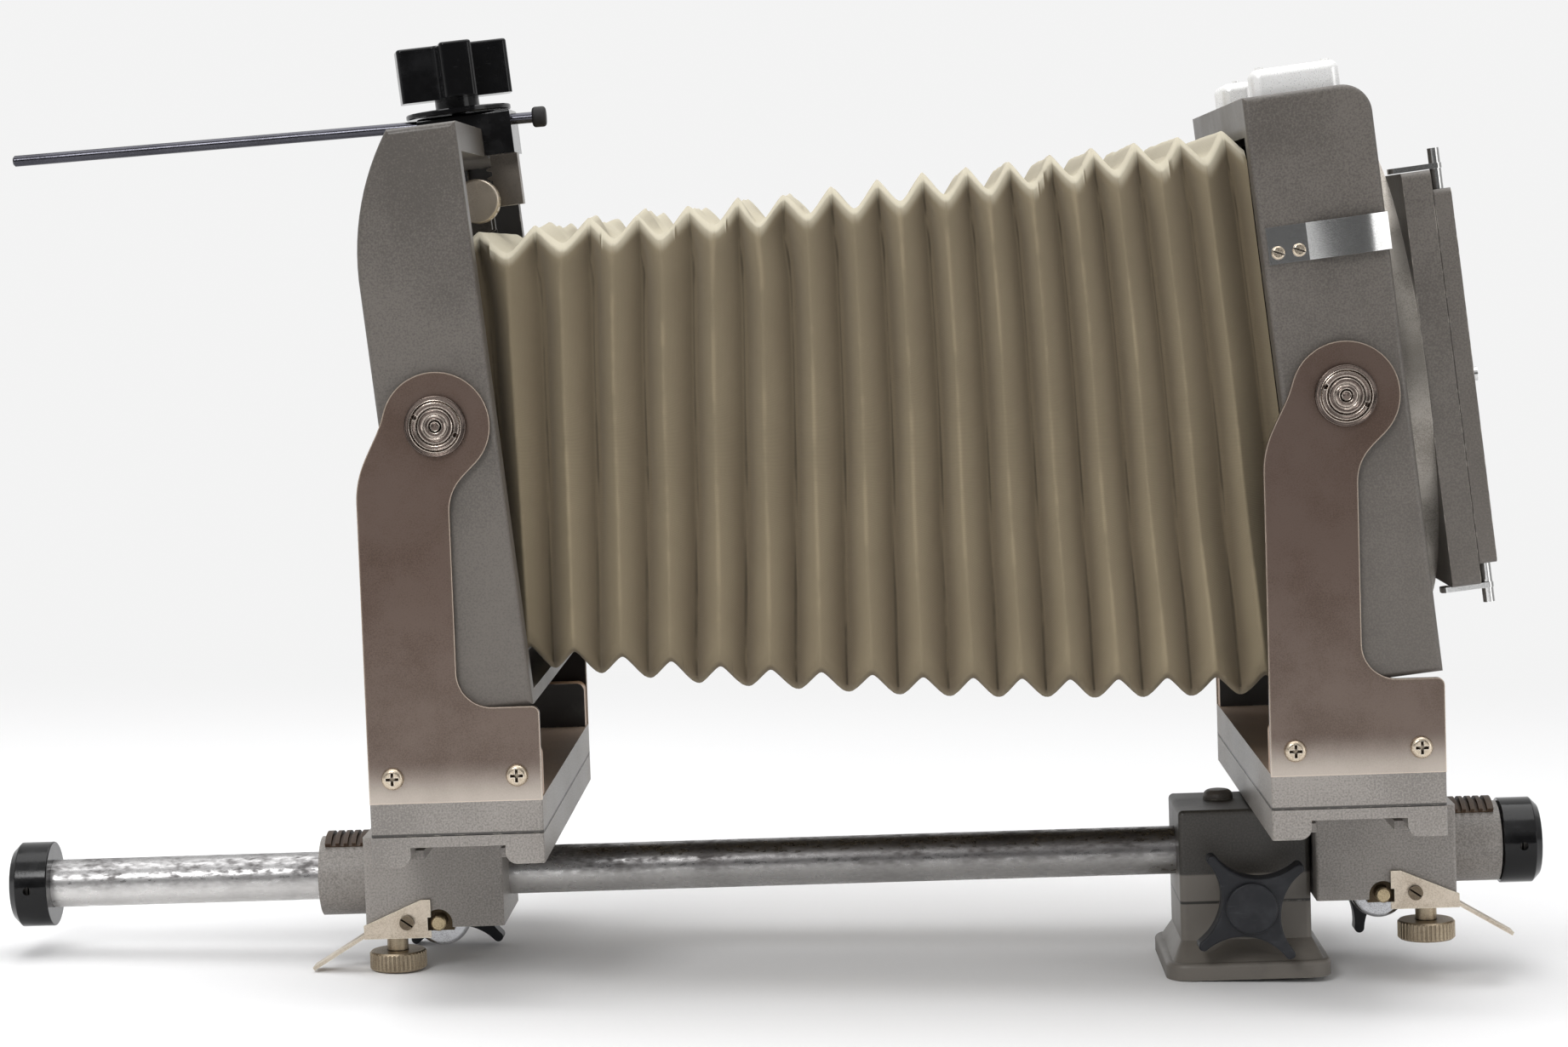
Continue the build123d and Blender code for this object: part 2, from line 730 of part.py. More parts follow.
# ================================================================ cross slides and yokes
class Standard:
    """Shift plate and yoke above one carriage."""

    def __init__(self, name, centre_x, lean):
        self.name = name
        self.x = centre_x
        self.pivot = (centre_x + pivot_offset, 0.0, pivot_height)
        self.place = Pos(*self.pivot) * Rot(0, -lean, 0)

    def length(self, shrink=0.0):
        return (self.x - standard_half + shrink, self.x + standard_half - shrink)

    def shift_plate(self):
        z = rail_height
        side = (-half_width, half_width)
        body = block_between(self.length(), side, (z + shift_feet_rise, z + shift_top_rise))
        body = fillet(body.edges().filter_by(Axis.Z), plate_rounding)
        groove = (self.x - shift_groove_half, self.x + shift_groove_half)
        body -= block_between(groove, both(half_width + 1), (z, z + shift_ceiling_rise))
        inner = [
            edge
            for edge in body.edges().filter_by(Axis.Y)
            if abs(abs(edge.center().X - self.x) - shift_groove_half) < 0.01
            and abs(edge.center().Z - z - shift_feet_rise) < 0.01
        ]
        body = fillet(inner, groove_rounding)
        for keeper in self.groove_keepers():
            body += keeper
        return body + bar_z(swing_post_radius, (z + shift_top_rise - 0.5, self.post_top()), self.x)

    def post_top(self):
        return rail_height + yoke_floor_rise + swing_post_proud

    def groove_keepers(self):
        """Rails inside the groove, under the tongue's lips."""
        low = rail_height + shift_feet_rise + keeper_lift
        high = rail_height + tongue_top_rise - tongue_lip_height - slide_gap
        reach = half_width - keeper_inset
        inner = tongue_half + slide_gap
        outer = shift_groove_half + groove_rounding
        keepers = []
        for sign in (-1, 1):
            x = sorted_pair(self.x + sign * inner, self.x + sign * outer)
            keepers.append(block_between(x, (-reach, reach), (low, high)))
        return keepers

    def swing_nut(self):
        z = rail_height + yoke_floor_rise + slide_gap
        top = z + swing_nut_height
        nut = bar_z(swing_nut_radius, (z, top), self.x)
        nut = chamfer(nut.faces().sort_by(Axis.Z)[-1].edges(), 0.8)
        nut -= bar_z(swing_post_radius, (z - 1, self.post_top()), self.x)
        slot = Box(swing_slot_width, 4 * swing_nut_radius, 2 * swing_slot_depth)
        return nut - Pos(self.x, 0, top) * slot

    def yoke_base(self):
        z = rail_height
        body = block_between(self.length(), both(half_width), (z + yoke_base_rise, z + yoke_plate_rise))
        body = fillet(body.edges().filter_by(Axis.Z), plate_rounding)
        step = (z + yoke_plate_rise - 0.1, z + yoke_floor_rise)
        body += block_between(self.length(), both(plate_inner), step)
        for sign in (-1, 1):
            side = sorted_pair(sign * plate_inner, sign * (plate_inner - yoke_lug_thickness))
            lug = block_between(self.length(0.4), side, (z + yoke_floor_rise - 0.1, z + yoke_lug_rise))
            body += fillet(lug.edges().filter_by(Axis.Y).sort_by(Axis.Z)[-2:], yoke_lug_rounding)
        body -= bar_z(swing_post_radius + run_gap, (z, z + yoke_floor_rise + 1), self.x)
        for screw in self.screw_places():
            body -= screw * bar_z(screw_shank_radius, (-screw_shank_length, 0))
        return body

    def screw_places(self):
        places = []
        for sign in (-1, 1):
            for spread in both(yoke_screw_spread):
                place = Pos(self.x + spread, sign * half_width, rail_height + yoke_screw_rise)
                places.append(place * Rot(-90 * sign, 0, 0))
        return places

    def plate_outline(self):
        """Foot, shoulder, arm and pivot eye, drawn about the standard's centre and the rail axis."""
        left = -standard_half
        right = standard_half
        arm = left + yoke_arm_width
        eye = Vector(pivot_offset, pivot_rise)
        lower_right = radians(-45)
        upper_left = radians(165)
        leave = eye + Vector(cos(lower_right), sin(lower_right)) * pivot_eye_radius
        meet = eye + Vector(cos(upper_left), sin(upper_left)) * pivot_eye_radius
        crown = eye + Vector(cos(radians(60)), sin(radians(60))) * pivot_eye_radius
        fillet_top = yoke_shoulder_rise + yoke_inner_fillet
        bend = yoke_inner_fillet * (1 - cos(radians(45)))
        corner = yoke_corner * (1 - cos(radians(45)))
        arm_top = yoke_arm_rise - 4.0
        edges = [
            Line((left, yoke_plate_rise), (right, yoke_plate_rise)),
            Line((right, yoke_plate_rise), (right, yoke_shoulder_rise - yoke_corner)),
            ThreePointArc(
                (right, yoke_shoulder_rise - yoke_corner),
                (right - corner, yoke_shoulder_rise - corner),
                (right - yoke_corner, yoke_shoulder_rise),
            ),
            Line((right - yoke_corner, yoke_shoulder_rise), (arm + yoke_inner_fillet, yoke_shoulder_rise)),
            ThreePointArc(
                (arm + yoke_inner_fillet, yoke_shoulder_rise),
                (arm + bend, yoke_shoulder_rise + bend),
                (arm, fillet_top),
            ),
            Line((arm, fillet_top), (arm, arm_top)),
            Spline((arm, arm_top), leave, tangents=[(0, 1), (cos(radians(45)), sin(radians(45)))]),
            ThreePointArc(leave, crown, meet),
            Spline(meet, (left, yoke_arm_rise), tangents=[(-sin(upper_left), cos(upper_left)), (0, -1)]),
            Line((left, yoke_arm_rise), (left, yoke_plate_rise)),
        ]
        return make_face(edges)

    def yoke_plates(self):
        face = Pos(self.x, rail_height) * self.plate_outline()
        plates = []
        for sign in (-1, 1):
            side = sorted_pair(sign * plate_inner, sign * half_width)
            through = (side[0] - 1, side[1] + 1)
            x, _, z = self.pivot
            plate = across(face, side) - bar_y(pivot_shank_radius + run_gap, through, x, z)
            for spread in both(yoke_screw_spread):
                place = (self.x + spread, rail_height + yoke_screw_rise)
                plate -= bar_y(screw_shank_radius, through, *place)
            plates.append(plate)
        return plates

    def yoke_screws(self):
        return [place * cross_screw() for place in self.screw_places()]

    def tilt_pivots(self):
        """Pivot screws with turned rings; they turn in the yoke and are tight in the frame."""
        pivots = []
        for sign in (-1, 1):
            head = bar_z(pivot_head_radius, (run_gap, pivot_head_height))
            head = fillet(head.faces().sort_by(Axis.Z)[-1].edges(), 0.9)
            for radius, depth in pivot_rings:
                ring = bar_z(radius, (pivot_head_height - depth, pivot_head_height + 1))
                ring -= bar_z(radius - 0.7, (0, pivot_head_height + 1))
                head -= ring
            for reach in both(spanner_hole_circle):
                head -= bar_z(spanner_hole_radius, (1, pivot_head_height + 1), reach)
            shank = half_width - (frame_half_width - pivot_shank_depth())
            pivot = head + bar_z(pivot_shank_radius, (-shank, run_gap))
            x, _, z = self.pivot
            place = Pos(x, sign * half_width, z) * Rot(0, spanner_turn, 0) * Rot(-90 * sign, 0, 0)
            pivots.append(place * pivot)
        return pivots

    def pivot_holes(self):
        deep = frame_half_width - pivot_shank_depth()
        ends = [(-frame_half_width - 1, -deep), (deep, frame_half_width + 1)]
        return bar_y(pivot_shank_radius, ends[0]) + bar_y(pivot_shank_radius, ends[1])

    def parts(self):
        n = self.name
        return {
            n + "_shift_plate": self.shift_plate(),
            n + "_swing_nut": self.swing_nut(),
            n + "_yoke_base": self.yoke_base(),
            n + "_yoke_plates": self.yoke_plates(),
            n + "_yoke_screws": self.yoke_screws(),
            n + "_tilt_pivots": self.tilt_pivots(),
        }


def pivot_shank_depth():
    """How far a pivot screw goes into a frame's side wall, short of the panel groove."""
    return frame_wall - panel_groove_depth - 0.5


# ================================================================ front standard
def front_frame():
    """A deep frame with side walls grooved for the lens panel, in its own tilted axes."""
    d = front_half_depth
    edges = [
        Line((-d, front_bottom), (d, front_bottom)),
        Line((d, front_bottom), (d, front_top)),
        Line((d, front_top), (front_top_edge, front_top)),
        ThreePointArc((front_top_edge, front_top), front_curve_mid, (-d, front_curve_start)),
        Line((-d, front_curve_start), (-d, front_bottom)),
    ]
    body = across(make_face(edges), (-frame_half_width, frame_half_width))
    sides = body.faces().filter_by(Axis.Y)
    body = fillet(sides.edges(), frame_rounding)
    window = (front_bottom + frame_sill, front_top - front_lintel)
    body -= block_between((-d - 1, d + 1), (-frame_inner, frame_inner), window)
    groove_x = (panel_front - slide_gap, panel_front + panel_thickness + slide_gap)
    groove_y = frame_inner + panel_groove_depth
    body -= block_between(groove_x, (-groove_y, groove_y), window)
    return body - bar_z(top_stud_radius + run_gap, (front_top - 6, front_top + 1), top_knob_x)


def lens_panel():
    x = (panel_front, panel_front + panel_thickness)
    half = frame_inner + panel_groove_depth - slide_gap
    z = (panel_centre - panel_half_height, panel_centre + panel_half_height)
    body = block_between(x, (-half, half), z)
    seat = lens_board_size / 2
    opening = seat - lens_board_ledge
    rebate = Box(2 * lens_board_thickness, 2 * seat, 2 * seat)
    through = Box(4 * panel_thickness, 2 * opening, 2 * opening)
    body -= Pos(x[0], 0, panel_centre) * (rebate + through)
    ear_top = pinion_height + pinion_ear_above
    ear_back = pinion_x() + pinion_ear_behind
    ear = outline(
        [
            (x[0], z[1] - 2),
            (x[1], z[1] - 2),
            (x[1], z[1] + free_gap),
            (ear_back, z[1] + pinion_ear_foot),
            (ear_back, ear_top),
            (x[0] + pinion_ear_slant, ear_top),
            (x[0], z[1] + pinion_ear_foot),
        ]
    )
    sides = pinion_ear_sides()
    for side in sides:
        body += across(ear, side)
    bore = (sides[0][0] - 1, sides[1][1] + 1)
    return body - bar_y(pinion_shaft_radius + run_gap, bore, pinion_x(), pinion_height)


def pinion_ear_sides():
    near = rack_width / 2 + 1.0
    return [(-near - pinion_ear, -near), (near, near + pinion_ear)]


def pinion_pitch_radius():
    return gear_module * pinion_teeth / 2


def pinion_x():
    """The pinion's pitch circle touches the rack's pitch line."""
    return rack_front + gear_addendum - pinion_pitch_radius()


def lens_board():
    side = lens_board_size - 2 * run_gap
    board = Box(lens_board_thickness, side, side)
    hole = bar_x(lens_hole_radius, both(lens_board_thickness))
    return Pos(panel_front + lens_board_thickness / 2, 0, panel_centre) * (board - hole)


def rise_rack():
    """A toothed post below the clamp block; its teeth face the front."""
    root = rack_front + gear_addendum + gear_dedendum
    side = (-rack_width / 2, rack_width / 2)
    body = block_between((root, rack_back), side, (rack_bottom, clamp_block_bottom))
    pitch = pi * gear_module
    count = int((clamp_block_bottom - rack_bottom - pitch) / pitch)
    # a gap of the rack stands level with the pinion's axis
    first = pinion_height + pitch / 2
    while first - pitch > rack_bottom + pitch / 2:
        first -= pitch
    half = pitch * tooth_share / 2
    lean = gear_addendum * sin(radians(tooth_slope))
    foot = gear_dedendum * sin(radians(tooth_slope))
    for tooth in range(count):
        z = first + pitch * tooth
        profile = outline(
            [
                (root + 0.2, z - half - foot),
                (rack_front, z - half + lean),
                (rack_front, z + half - lean),
                (root + 0.2, z + half + foot),
            ]
        )
        body += across(profile, side)
    return body


def rise_pinion():
    """A small pinion with its shaft and a fluted knob on the left; a tooth points at the rack."""
    side = (-rack_width / 2, rack_width / 2)
    radius = pinion_pitch_radius()
    root = radius - gear_dedendum
    gear = bar_y(root, side)
    half = pi * gear_module * tooth_share / 2
    lean = gear_addendum * sin(radians(tooth_slope + 6))
    foot = gear_dedendum * sin(radians(tooth_slope))
    profile = outline(
        [
            (root - 0.6, -half - foot),
            (radius, -half),
            (radius + gear_addendum, -half + lean),
            (radius + gear_addendum, half - lean),
            (radius, half),
            (root - 0.6, half + foot),
        ]
    )
    tooth = across(profile, side)
    for index in range(pinion_teeth):
        gear += Rot(0, 360 / pinion_teeth * index, 0) * tooth
    near = pinion_ear_sides()[0][0] - slide_gap
    far = pinion_ear_sides()[1][1] + 1.5
    gear += bar_y(pinion_shaft_radius, (near - 1, far))
    knob = bar_y(pinion_knob_radius, (near - pinion_knob_length, near))
    knob = fillet(knob.edges().filter_by(GeomType.CIRCLE), 0.8)
    reach = pinion_knob_radius + pinion_flute_radius * 0.4
    for flute in range(pinion_flutes):
        angle = 2 * pi * flute / pinion_flutes
        place = (reach * cos(angle), reach * sin(angle))
        knob -= bar_y(pinion_flute_radius, (near - pinion_knob_length + 1, near - 1), *place)
    return Pos(pinion_x(), 0, pinion_height) * (gear + knob)


def rod_place():
    """The rod's own axes: its X runs backwards along the rod, from below the clamp screw."""
    return Pos(top_knob_x, -rod_offset, rod_height) * Rot(0, rod_slope, 0)


def clamp_block():
    side = (-clamp_block_half, clamp_block_half)
    body = block_between((clamp_block_front, clamp_block_back), side, (front_top, clamp_block_top))
    body += block_between((front_half_depth, clamp_block_back), side, (clamp_block_bottom, front_top + 0.1))
    top = body.faces().sort_by(Axis.Z)[-1]
    body = fillet(top.edges(), 1.2)
    body -= bar_z(top_stud_radius + run_gap, (front_top - 1, clamp_block_top + 1), top_knob_x)
    reach = clamp_block_back - clamp_block_front
    return body - rod_place() * bar_x(rod_radius + run_gap, both(reach))


def support_rod():
    rod = bar_x(rod_radius, (rod_behind - rod_length, rod_behind))
    rod = chamfer(rod.faces().sort_by(Axis.X)[0].edges(), 0.6)
    return rod_place() * rod


def rod_cap():
    cap = bar_x(rod_cap_radius, (rod_behind, rod_behind + rod_cap_length))
    return rod_place() * fillet(cap.edges().filter_by(GeomType.CIRCLE), 1.2)


def top_knob():
    low = clamp_block_top + slide_gap
    washer = bar_z(top_washer_radius, (low, low + top_washer_height))
    washer = chamfer(washer.edges().filter_by(GeomType.CIRCLE), 0.4)
    hub_top = low + top_washer_height + top_hub_height
    hub = bar_z(top_hub_radius, (low, hub_top + 0.5))
    lobe = Rectangle(2 * top_lobe_reach, top_lobe_width)
    cross = extrude(Pos(0, 0, hub_top) * (lobe + Rot(0, 0, 90) * lobe), amount=top_lobe_height)
    cross = fillet(cross.edges().filter_by(Axis.Z), 1.8)
    cross = fillet(cross.faces().sort_by(Axis.Z)[-1].edges(), 1.0)
    stud = bar_z(top_stud_radius, (front_top - 5, low))
    return Pos(top_knob_x, 0, 0) * (washer + hub + Rot(0, 0, top_knob_turn) * cross + stud)


# ================================================================ rear standard and back
def rear_frame():
    """A deep frame closed by a back wall with the revolving ring's hole, in its own tilted axes."""
    d = rear_half_depth
    bend = rear_round * (1 - cos(radians(45)))
    edges = [
        Line((-d, rear_bottom), (d, rear_bottom)),
        Line((d, rear_bottom), (d, rear_top - rear_round)),
        ThreePointArc((d, rear_top - rear_round), (d - bend, rear_top - bend), (d - rear_round, rear_top)),
        Line((d - rear_round, rear_top), (-d, rear_top)),
        Line((-d, rear_top), (-d, rear_bottom)),
    ]
    body = across(make_face(edges), (-frame_half_width, frame_half_width))
    body = fillet(body.faces().filter_by(Axis.Y).edges(), frame_rounding)
    throat = (-throat_half_height, throat_half_height)
    body -= block_between((-d - 1, d - rear_wall), (-throat_half_width, throat_half_width), throat)
    return body - bar_x(ring_neck_radius + run_gap, (0, d + 1))


def revolving_ring():
    """Two rings screwed together through the frame's hole: the outer one carries the back."""
    wall = (rear_half_depth - rear_wall, rear_half_depth)
    outer = (wall[1] + slide_gap, wall[1] + ring_reach)
    ring = bar_x(ring_outer_radius, outer) + bar_x(ring_neck_radius, (wall[0] - slide_gap, outer[1]))
    ring -= bar_x(ring_bore_radius, (0, outer[1] + 1))
    keeper_x = (wall[0] - slide_gap - ring_keeper_thickness, wall[0] - slide_gap)
    keeper = bar_x(ring_keeper_radius, keeper_x) - bar_x(ring_bore_radius, (0, outer[1] + 1))
    return [ring, keeper]


def back_x():
    """Low and high X of the back panel in the frame's axes."""
    low = rear_half_depth + ring_reach
    return (low, low + back_thickness)


def glass_x():
    low = back_x()[1] + slide_gap
    return (low, low + glass_frame_thickness)


def back_panel():
    body = block_between(back_x(), both(back_half_width), both(back_half_height))
    body = fillet(body.edges().filter_by(Axis.X), back_rounding)
    through = (0, back_x()[1] + 1)
    return body - block_between(through, both(back_opening_half_width), both(back_opening_half_height))


def glass_frame():
    x = glass_x()
    body = block_between(x, both(glass_frame_half_width), both(glass_frame_half_height))
    body = fillet(body.edges().filter_by(Axis.X), glass_frame_rounding)
    rebate = (x[0] - 1, x[0] + glass_thickness)
    body -= block_between(rebate, both(glass_half_width), both(glass_half_height))
    through = (x[0], x[1] + 1)
    body -= block_between(through, both(back_opening_half_width), both(back_opening_half_height))
    for y, sign in arm_places():
        hole = sorted_pair(sign * arm_pin_foot(), sign * (glass_frame_half_height + 1))
        body -= bar_z(arm_pin_radius, hole, arm_pin_x(), y)
    return body


def ground_glass():
    x = glass_x()[0]
    side = both(glass_half_width - glass_play)
    return block_between((x, x + glass_thickness), side, both(glass_half_height - glass_play))


def arm_places():
    """Y of each spring arm, and +1 for the upper pair or -1 for the lower pair."""
    y = glass_frame_half_width - arm_inset
    return [(-y, 1), (y, 1), (-y, -1), (y, -1)]


def arm_pin_x():
    return glass_x()[0] + glass_frame_thickness / 2


def arm_pin_foot():
    return glass_frame_half_height - arm_pin_seat


def spring_arms():
    """Arms pinned to the glass frame's corners; they slide along the back panel's edges."""
    arms = []
    for y, sign in arm_places():
        low = back_half_height + slide_gap
        bar_span = sorted_pair(sign * low, sign * (low + arm_thickness))
        x = (back_x()[0] - arm_overlap, glass_x()[1] - arm_back_inset)
        bar = block_between(x, (y - arm_width / 2, y + arm_width / 2), bar_span)
        bar = fillet(bar.edges().filter_by(Axis.Z), arm_rounding)
        tip = arm_pin_foot() + arm_pin_length
        pin = bar_z(arm_pin_radius, sorted_pair(sign * arm_pin_foot(), sign * tip), arm_pin_x(), y)
        arms.append(bar + pin)
    return arms


def back_springs():
    """Two leaf springs behind the glass frame, each with its screw head."""
    springs = []
    x = glass_x()[1]
    for sign in (-1, 1):
        y = sign * (glass_frame_half_width - leaf_width)
        wide = (y - leaf_width / 2, y + leaf_width / 2)
        leaf = block_between((x, x + leaf_thickness), wide, both(leaf_half_length))
        leaf = fillet(leaf.edges().filter_by(Axis.X), leaf_rounding)
        head = (x, x + leaf_thickness + leaf_screw_height)
        springs.append(leaf + bar_x(leaf_screw_radius, head, y))
    return springs


def level_places():
    """Level housings on the frame's top: one along the camera, one across it."""
    along_x = level_front + level_length / 2
    first = Pos(along_x, level_near_y, rear_top)
    second = Pos(level_front + level_width / 2, level_far_y, rear_top) * Rot(0, 0, 90)
    return [first, second]


def level_housings():
    shapes = []
    for place in level_places():
        body = block_between(
            (-level_length / 2, level_length / 2), (-level_width / 2, level_width / 2), (0, level_height)
        )
        body = fillet(body.edges().filter_by(Axis.Z), 3.5)
        body = fillet(body.faces().sort_by(Axis.Z)[-1].edges(), 3.0)
        window = level_vial_radius + 0.4
        half = level_vial_length / 2
        body -= block_between((-half, half), (-window, window), (level_vial_height(), level_height + 1))
        body -= bar_x(window, (-half, half), 0, level_vial_height())
        for end in (-1, 1):
            body += bar_z(1.5, (level_height - 0.5, level_height + 0.7), end * (half + 3.6))
        shapes.append(place * body)
    return shapes


def level_vial_height():
    return level_height - level_vial_radius - 0.6


def level_vials():
    half = level_vial_length / 2
    vial = bar_x(level_vial_radius, (-half, half), 0, level_vial_height())
    return [place * vial for place in level_places()]


def side_clip():
    """A springy strip on the frame's left side: a flat foot, then a bow that stands off the wall."""
    y = -frame_half_width
    foot_end = clip_front + clip_foot
    z = (clip_low, clip_low + clip_height)
    body = block_between((clip_front, foot_end), (y - clip_sheet, y), z)
    end = clip_front + clip_length
    middle = (foot_end + end) / 2
    crest = y - clip_bow
    outer = ThreePointArc(
        (foot_end, y - clip_sheet), (middle, crest - clip_sheet), (end, y - clip_sheet)
    )
    inner = ThreePointArc((end, y), (middle, crest), (foot_end, y))
    bow_face = make_face([outer, Line(outer @ 1, inner @ 0), inner, Line(inner @ 1, outer @ 0)])
    body += extrude(Pos(0, 0, z[0]) * bow_face, amount=clip_height)
    for x, z in clip_screw_places():
        body -= bar_y(clip_screw_shank, (y - clip_sheet - 1, y + 1), x, z)
    return body


def clip_screw_places():
    z = clip_low + clip_height * 0.3
    return [(clip_front + clip_screw_inset, z), (clip_front + clip_foot - clip_screw_inset, z)]


def clip_screws():
    y = -frame_half_width
    screws = []
    seat = y - clip_sheet
    front = seat - clip_screw_height
    for x, z in clip_screw_places():
        head = bar_y(clip_screw_radius, (front, seat), x, z)
        head = fillet(head.faces().sort_by(Axis.Y)[0].edges(), clip_screw_height * 0.7)
        slot = Pos(x, front, z) * Rot(0, clip_slot_turn, 0) * Box(3 * clip_screw_radius, 0.8, 0.5)
        screws.append(head - slot + bar_y(clip_screw_shank, (seat, y), x, z))
    return screws


# ================================================================ bellows
def bellows(front, rear):
    """A hollow tapered sleeve as deep as its folds, between lens panel and rear frame."""
    def sleeve(shrink):
        faces = []
        ends = (
            (front, panel_front + panel_thickness, panel_centre, bellows_front_half),
            (rear, -rear_half_depth, bellows_rear_centre, bellows_rear_half),
        )
        for standard, x, z, half in ends:
            size = (2 * (half[0] - shrink), 2 * (half[1] - shrink))
            flat = Plane(origin=(x, 0, z), x_dir=(0, 1, 0), z_dir=(1, 0, 0)) * Rectangle(*size)
            faces.append(standard.place * flat)
        return loft(faces)

    return sleeve(0) - sleeve(bellows_depth)


# ================================================================ all parts
front_carriage = Carriage("front", front_carriage_inner, -1)
rear_carriage = Carriage("rear", rear_carriage_inner, 1)
front_standard = Standard("front", front_carriage.centre_x, front_lean)
rear_standard = Standard("rear", rear_carriage.centre_x, rear_lean)

front_cap_end = rail_front - cap_floor
rear_cap_end = rail_back + cap_floor

parts = {
    "tripod_foot": tripod_foot(),
    "rail_clamp": rail_clamp(),
    "block_top_bolt": block_top_bolt(),
    **clamp_parts(),
    "rail_tube": rail_tube() - cap_screw_hole(front_cap_end, 1) - cap_screw_hole(rear_cap_end, -1),
    "rail_cap_front": rail_cap(front_cap_end, 1),
    "rail_cap_rear": rail_cap(rear_cap_end, -1),
    "cap_set_screws": [cap_set_screw(front_cap_end, 1), cap_set_screw(rear_cap_end, -1)],
    **front_carriage.parts(),
    **rear_carriage.parts(),
    **front_standard.parts(),
    **rear_standard.parts(),
    "bellows": bellows(front_standard, rear_standard),
}

front_parts = {
    "front_frame": front_frame() - front_standard.pivot_holes(),
    "lens_panel": lens_panel(),
    "lens_board": lens_board(),
    "rise_rack": rise_rack(),
    "rise_pinion": rise_pinion(),
    "top_clamp_block": clamp_block(),
    "top_knob": top_knob(),
    "support_rod": support_rod(),
    "rod_cap": rod_cap(),
}
rear_parts = {
    "rear_frame": rear_frame() - rear_standard.pivot_holes(),
    "revolving_ring": revolving_ring(),
    "back_panel": back_panel(),
    "glass_frame": glass_frame(),
    "ground_glass": ground_glass(),
    "spring_arms": spring_arms(),
    "back_springs": back_springs(),
    "level_housings": level_housings(),
    "level_vials": level_vials(),
    "side_clip": side_clip(),
    "clip_screws": clip_screws(),
}


def placed(shape, place):
    if isinstance(shape, list):
        return [place * each for each in shape]
    return place * shape


for name, shape in front_parts.items():
    parts[name] = placed(shape, front_standard.place)
for name, shape in rear_parts.items():
    parts[name] = placed(shape, rear_standard.place)

os.makedirs("parts", exist_ok=True)
for name, shape in parts.items():
    if isinstance(shape, list):
        shape = Compound(children=shape)
    export_step(shape, "parts/" + name + ".step")
    print(name)
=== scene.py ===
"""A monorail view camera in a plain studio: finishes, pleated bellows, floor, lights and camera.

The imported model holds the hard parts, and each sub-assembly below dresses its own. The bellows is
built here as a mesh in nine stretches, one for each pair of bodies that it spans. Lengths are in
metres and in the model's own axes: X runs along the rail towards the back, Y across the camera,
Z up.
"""

from __future__ import annotations

import json
import logging
import math
from dataclasses import dataclass
from enum import Enum
from typing import Any, Sequence

import bpy
from mathutils import Matrix, Vector, noise

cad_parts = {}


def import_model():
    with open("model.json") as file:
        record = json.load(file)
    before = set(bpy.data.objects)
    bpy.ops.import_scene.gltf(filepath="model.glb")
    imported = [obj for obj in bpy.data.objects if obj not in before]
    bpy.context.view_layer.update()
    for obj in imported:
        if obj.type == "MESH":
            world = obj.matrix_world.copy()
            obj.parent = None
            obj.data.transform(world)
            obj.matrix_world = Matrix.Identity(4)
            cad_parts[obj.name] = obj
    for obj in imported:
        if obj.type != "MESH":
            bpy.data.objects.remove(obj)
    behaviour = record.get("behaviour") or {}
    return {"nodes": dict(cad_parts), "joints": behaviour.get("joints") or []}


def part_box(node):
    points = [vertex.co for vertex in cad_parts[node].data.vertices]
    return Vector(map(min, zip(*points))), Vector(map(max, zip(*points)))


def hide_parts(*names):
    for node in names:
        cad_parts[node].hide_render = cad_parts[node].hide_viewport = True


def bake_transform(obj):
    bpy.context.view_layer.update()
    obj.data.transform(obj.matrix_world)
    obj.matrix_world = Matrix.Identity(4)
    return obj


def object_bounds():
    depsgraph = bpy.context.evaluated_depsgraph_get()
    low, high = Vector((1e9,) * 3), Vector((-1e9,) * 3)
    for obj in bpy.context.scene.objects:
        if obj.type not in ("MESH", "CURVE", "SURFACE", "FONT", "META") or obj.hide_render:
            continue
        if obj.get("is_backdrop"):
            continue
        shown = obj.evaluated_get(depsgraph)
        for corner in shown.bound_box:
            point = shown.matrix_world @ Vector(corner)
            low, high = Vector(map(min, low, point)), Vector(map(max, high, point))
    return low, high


log = logging.getLogger("view_camera")

Triple = tuple[float, float, float]
Color = Triple


def srgb(red: int, green: int, blue: int) -> Color:
    """Converts a display colour to the linear colour that shaders use.

    Args:
        red: Red, from 0 to 255.
        green: Green, from 0 to 255.
        blue: Blue, from 0 to 255.

    Returns:
        The linear colour.
    """
    linear = []
    for channel in (red, green, blue):
        value = channel / 255
        linear.append(value / 12.92 if value <= 0.04045 else ((value + 0.055) / 1.055) ** 2.4)
    return (linear[0], linear[1], linear[2])


def shade(color: Color, factor: float) -> Color:
    """A darker or lighter colour, no brighter than white."""
    return tuple(min(1.0, channel * factor) for channel in color)


# ---- shader graphs
class Port:
    """An output socket that takes part in arithmetic."""

    def __init__(self, graph: Graph, socket: bpy.types.NodeSocket) -> None:
        """Keeps the socket and the graph that makes further nodes.

        Args:
            graph: The graph of the socket's node.
            socket: The output socket.
        """
        self.graph = graph
        self.socket = socket

    def __add__(self, other: Port | float) -> Port:
        """This value plus another."""
        return self.graph.combine("ADD", self, other)

    def __radd__(self, other: float) -> Port:
        """A number plus this value."""
        return self.graph.combine("ADD", other, self)

    def __sub__(self, other: Port | float | Vector) -> Port:
        """This value minus another."""
        return self.graph.combine("SUBTRACT", self, other)

    def __rsub__(self, other: float) -> Port:
        """A number minus this value."""
        return self.graph.combine("SUBTRACT", other, self)

    def __mul__(self, other: Port | float | Vector) -> Port:
        """This value times another."""
        return self.graph.combine("MULTIPLY", self, other)

    def __rmul__(self, other: float) -> Port:
        """A number times this value."""
        return self.graph.combine("MULTIPLY", other, self)


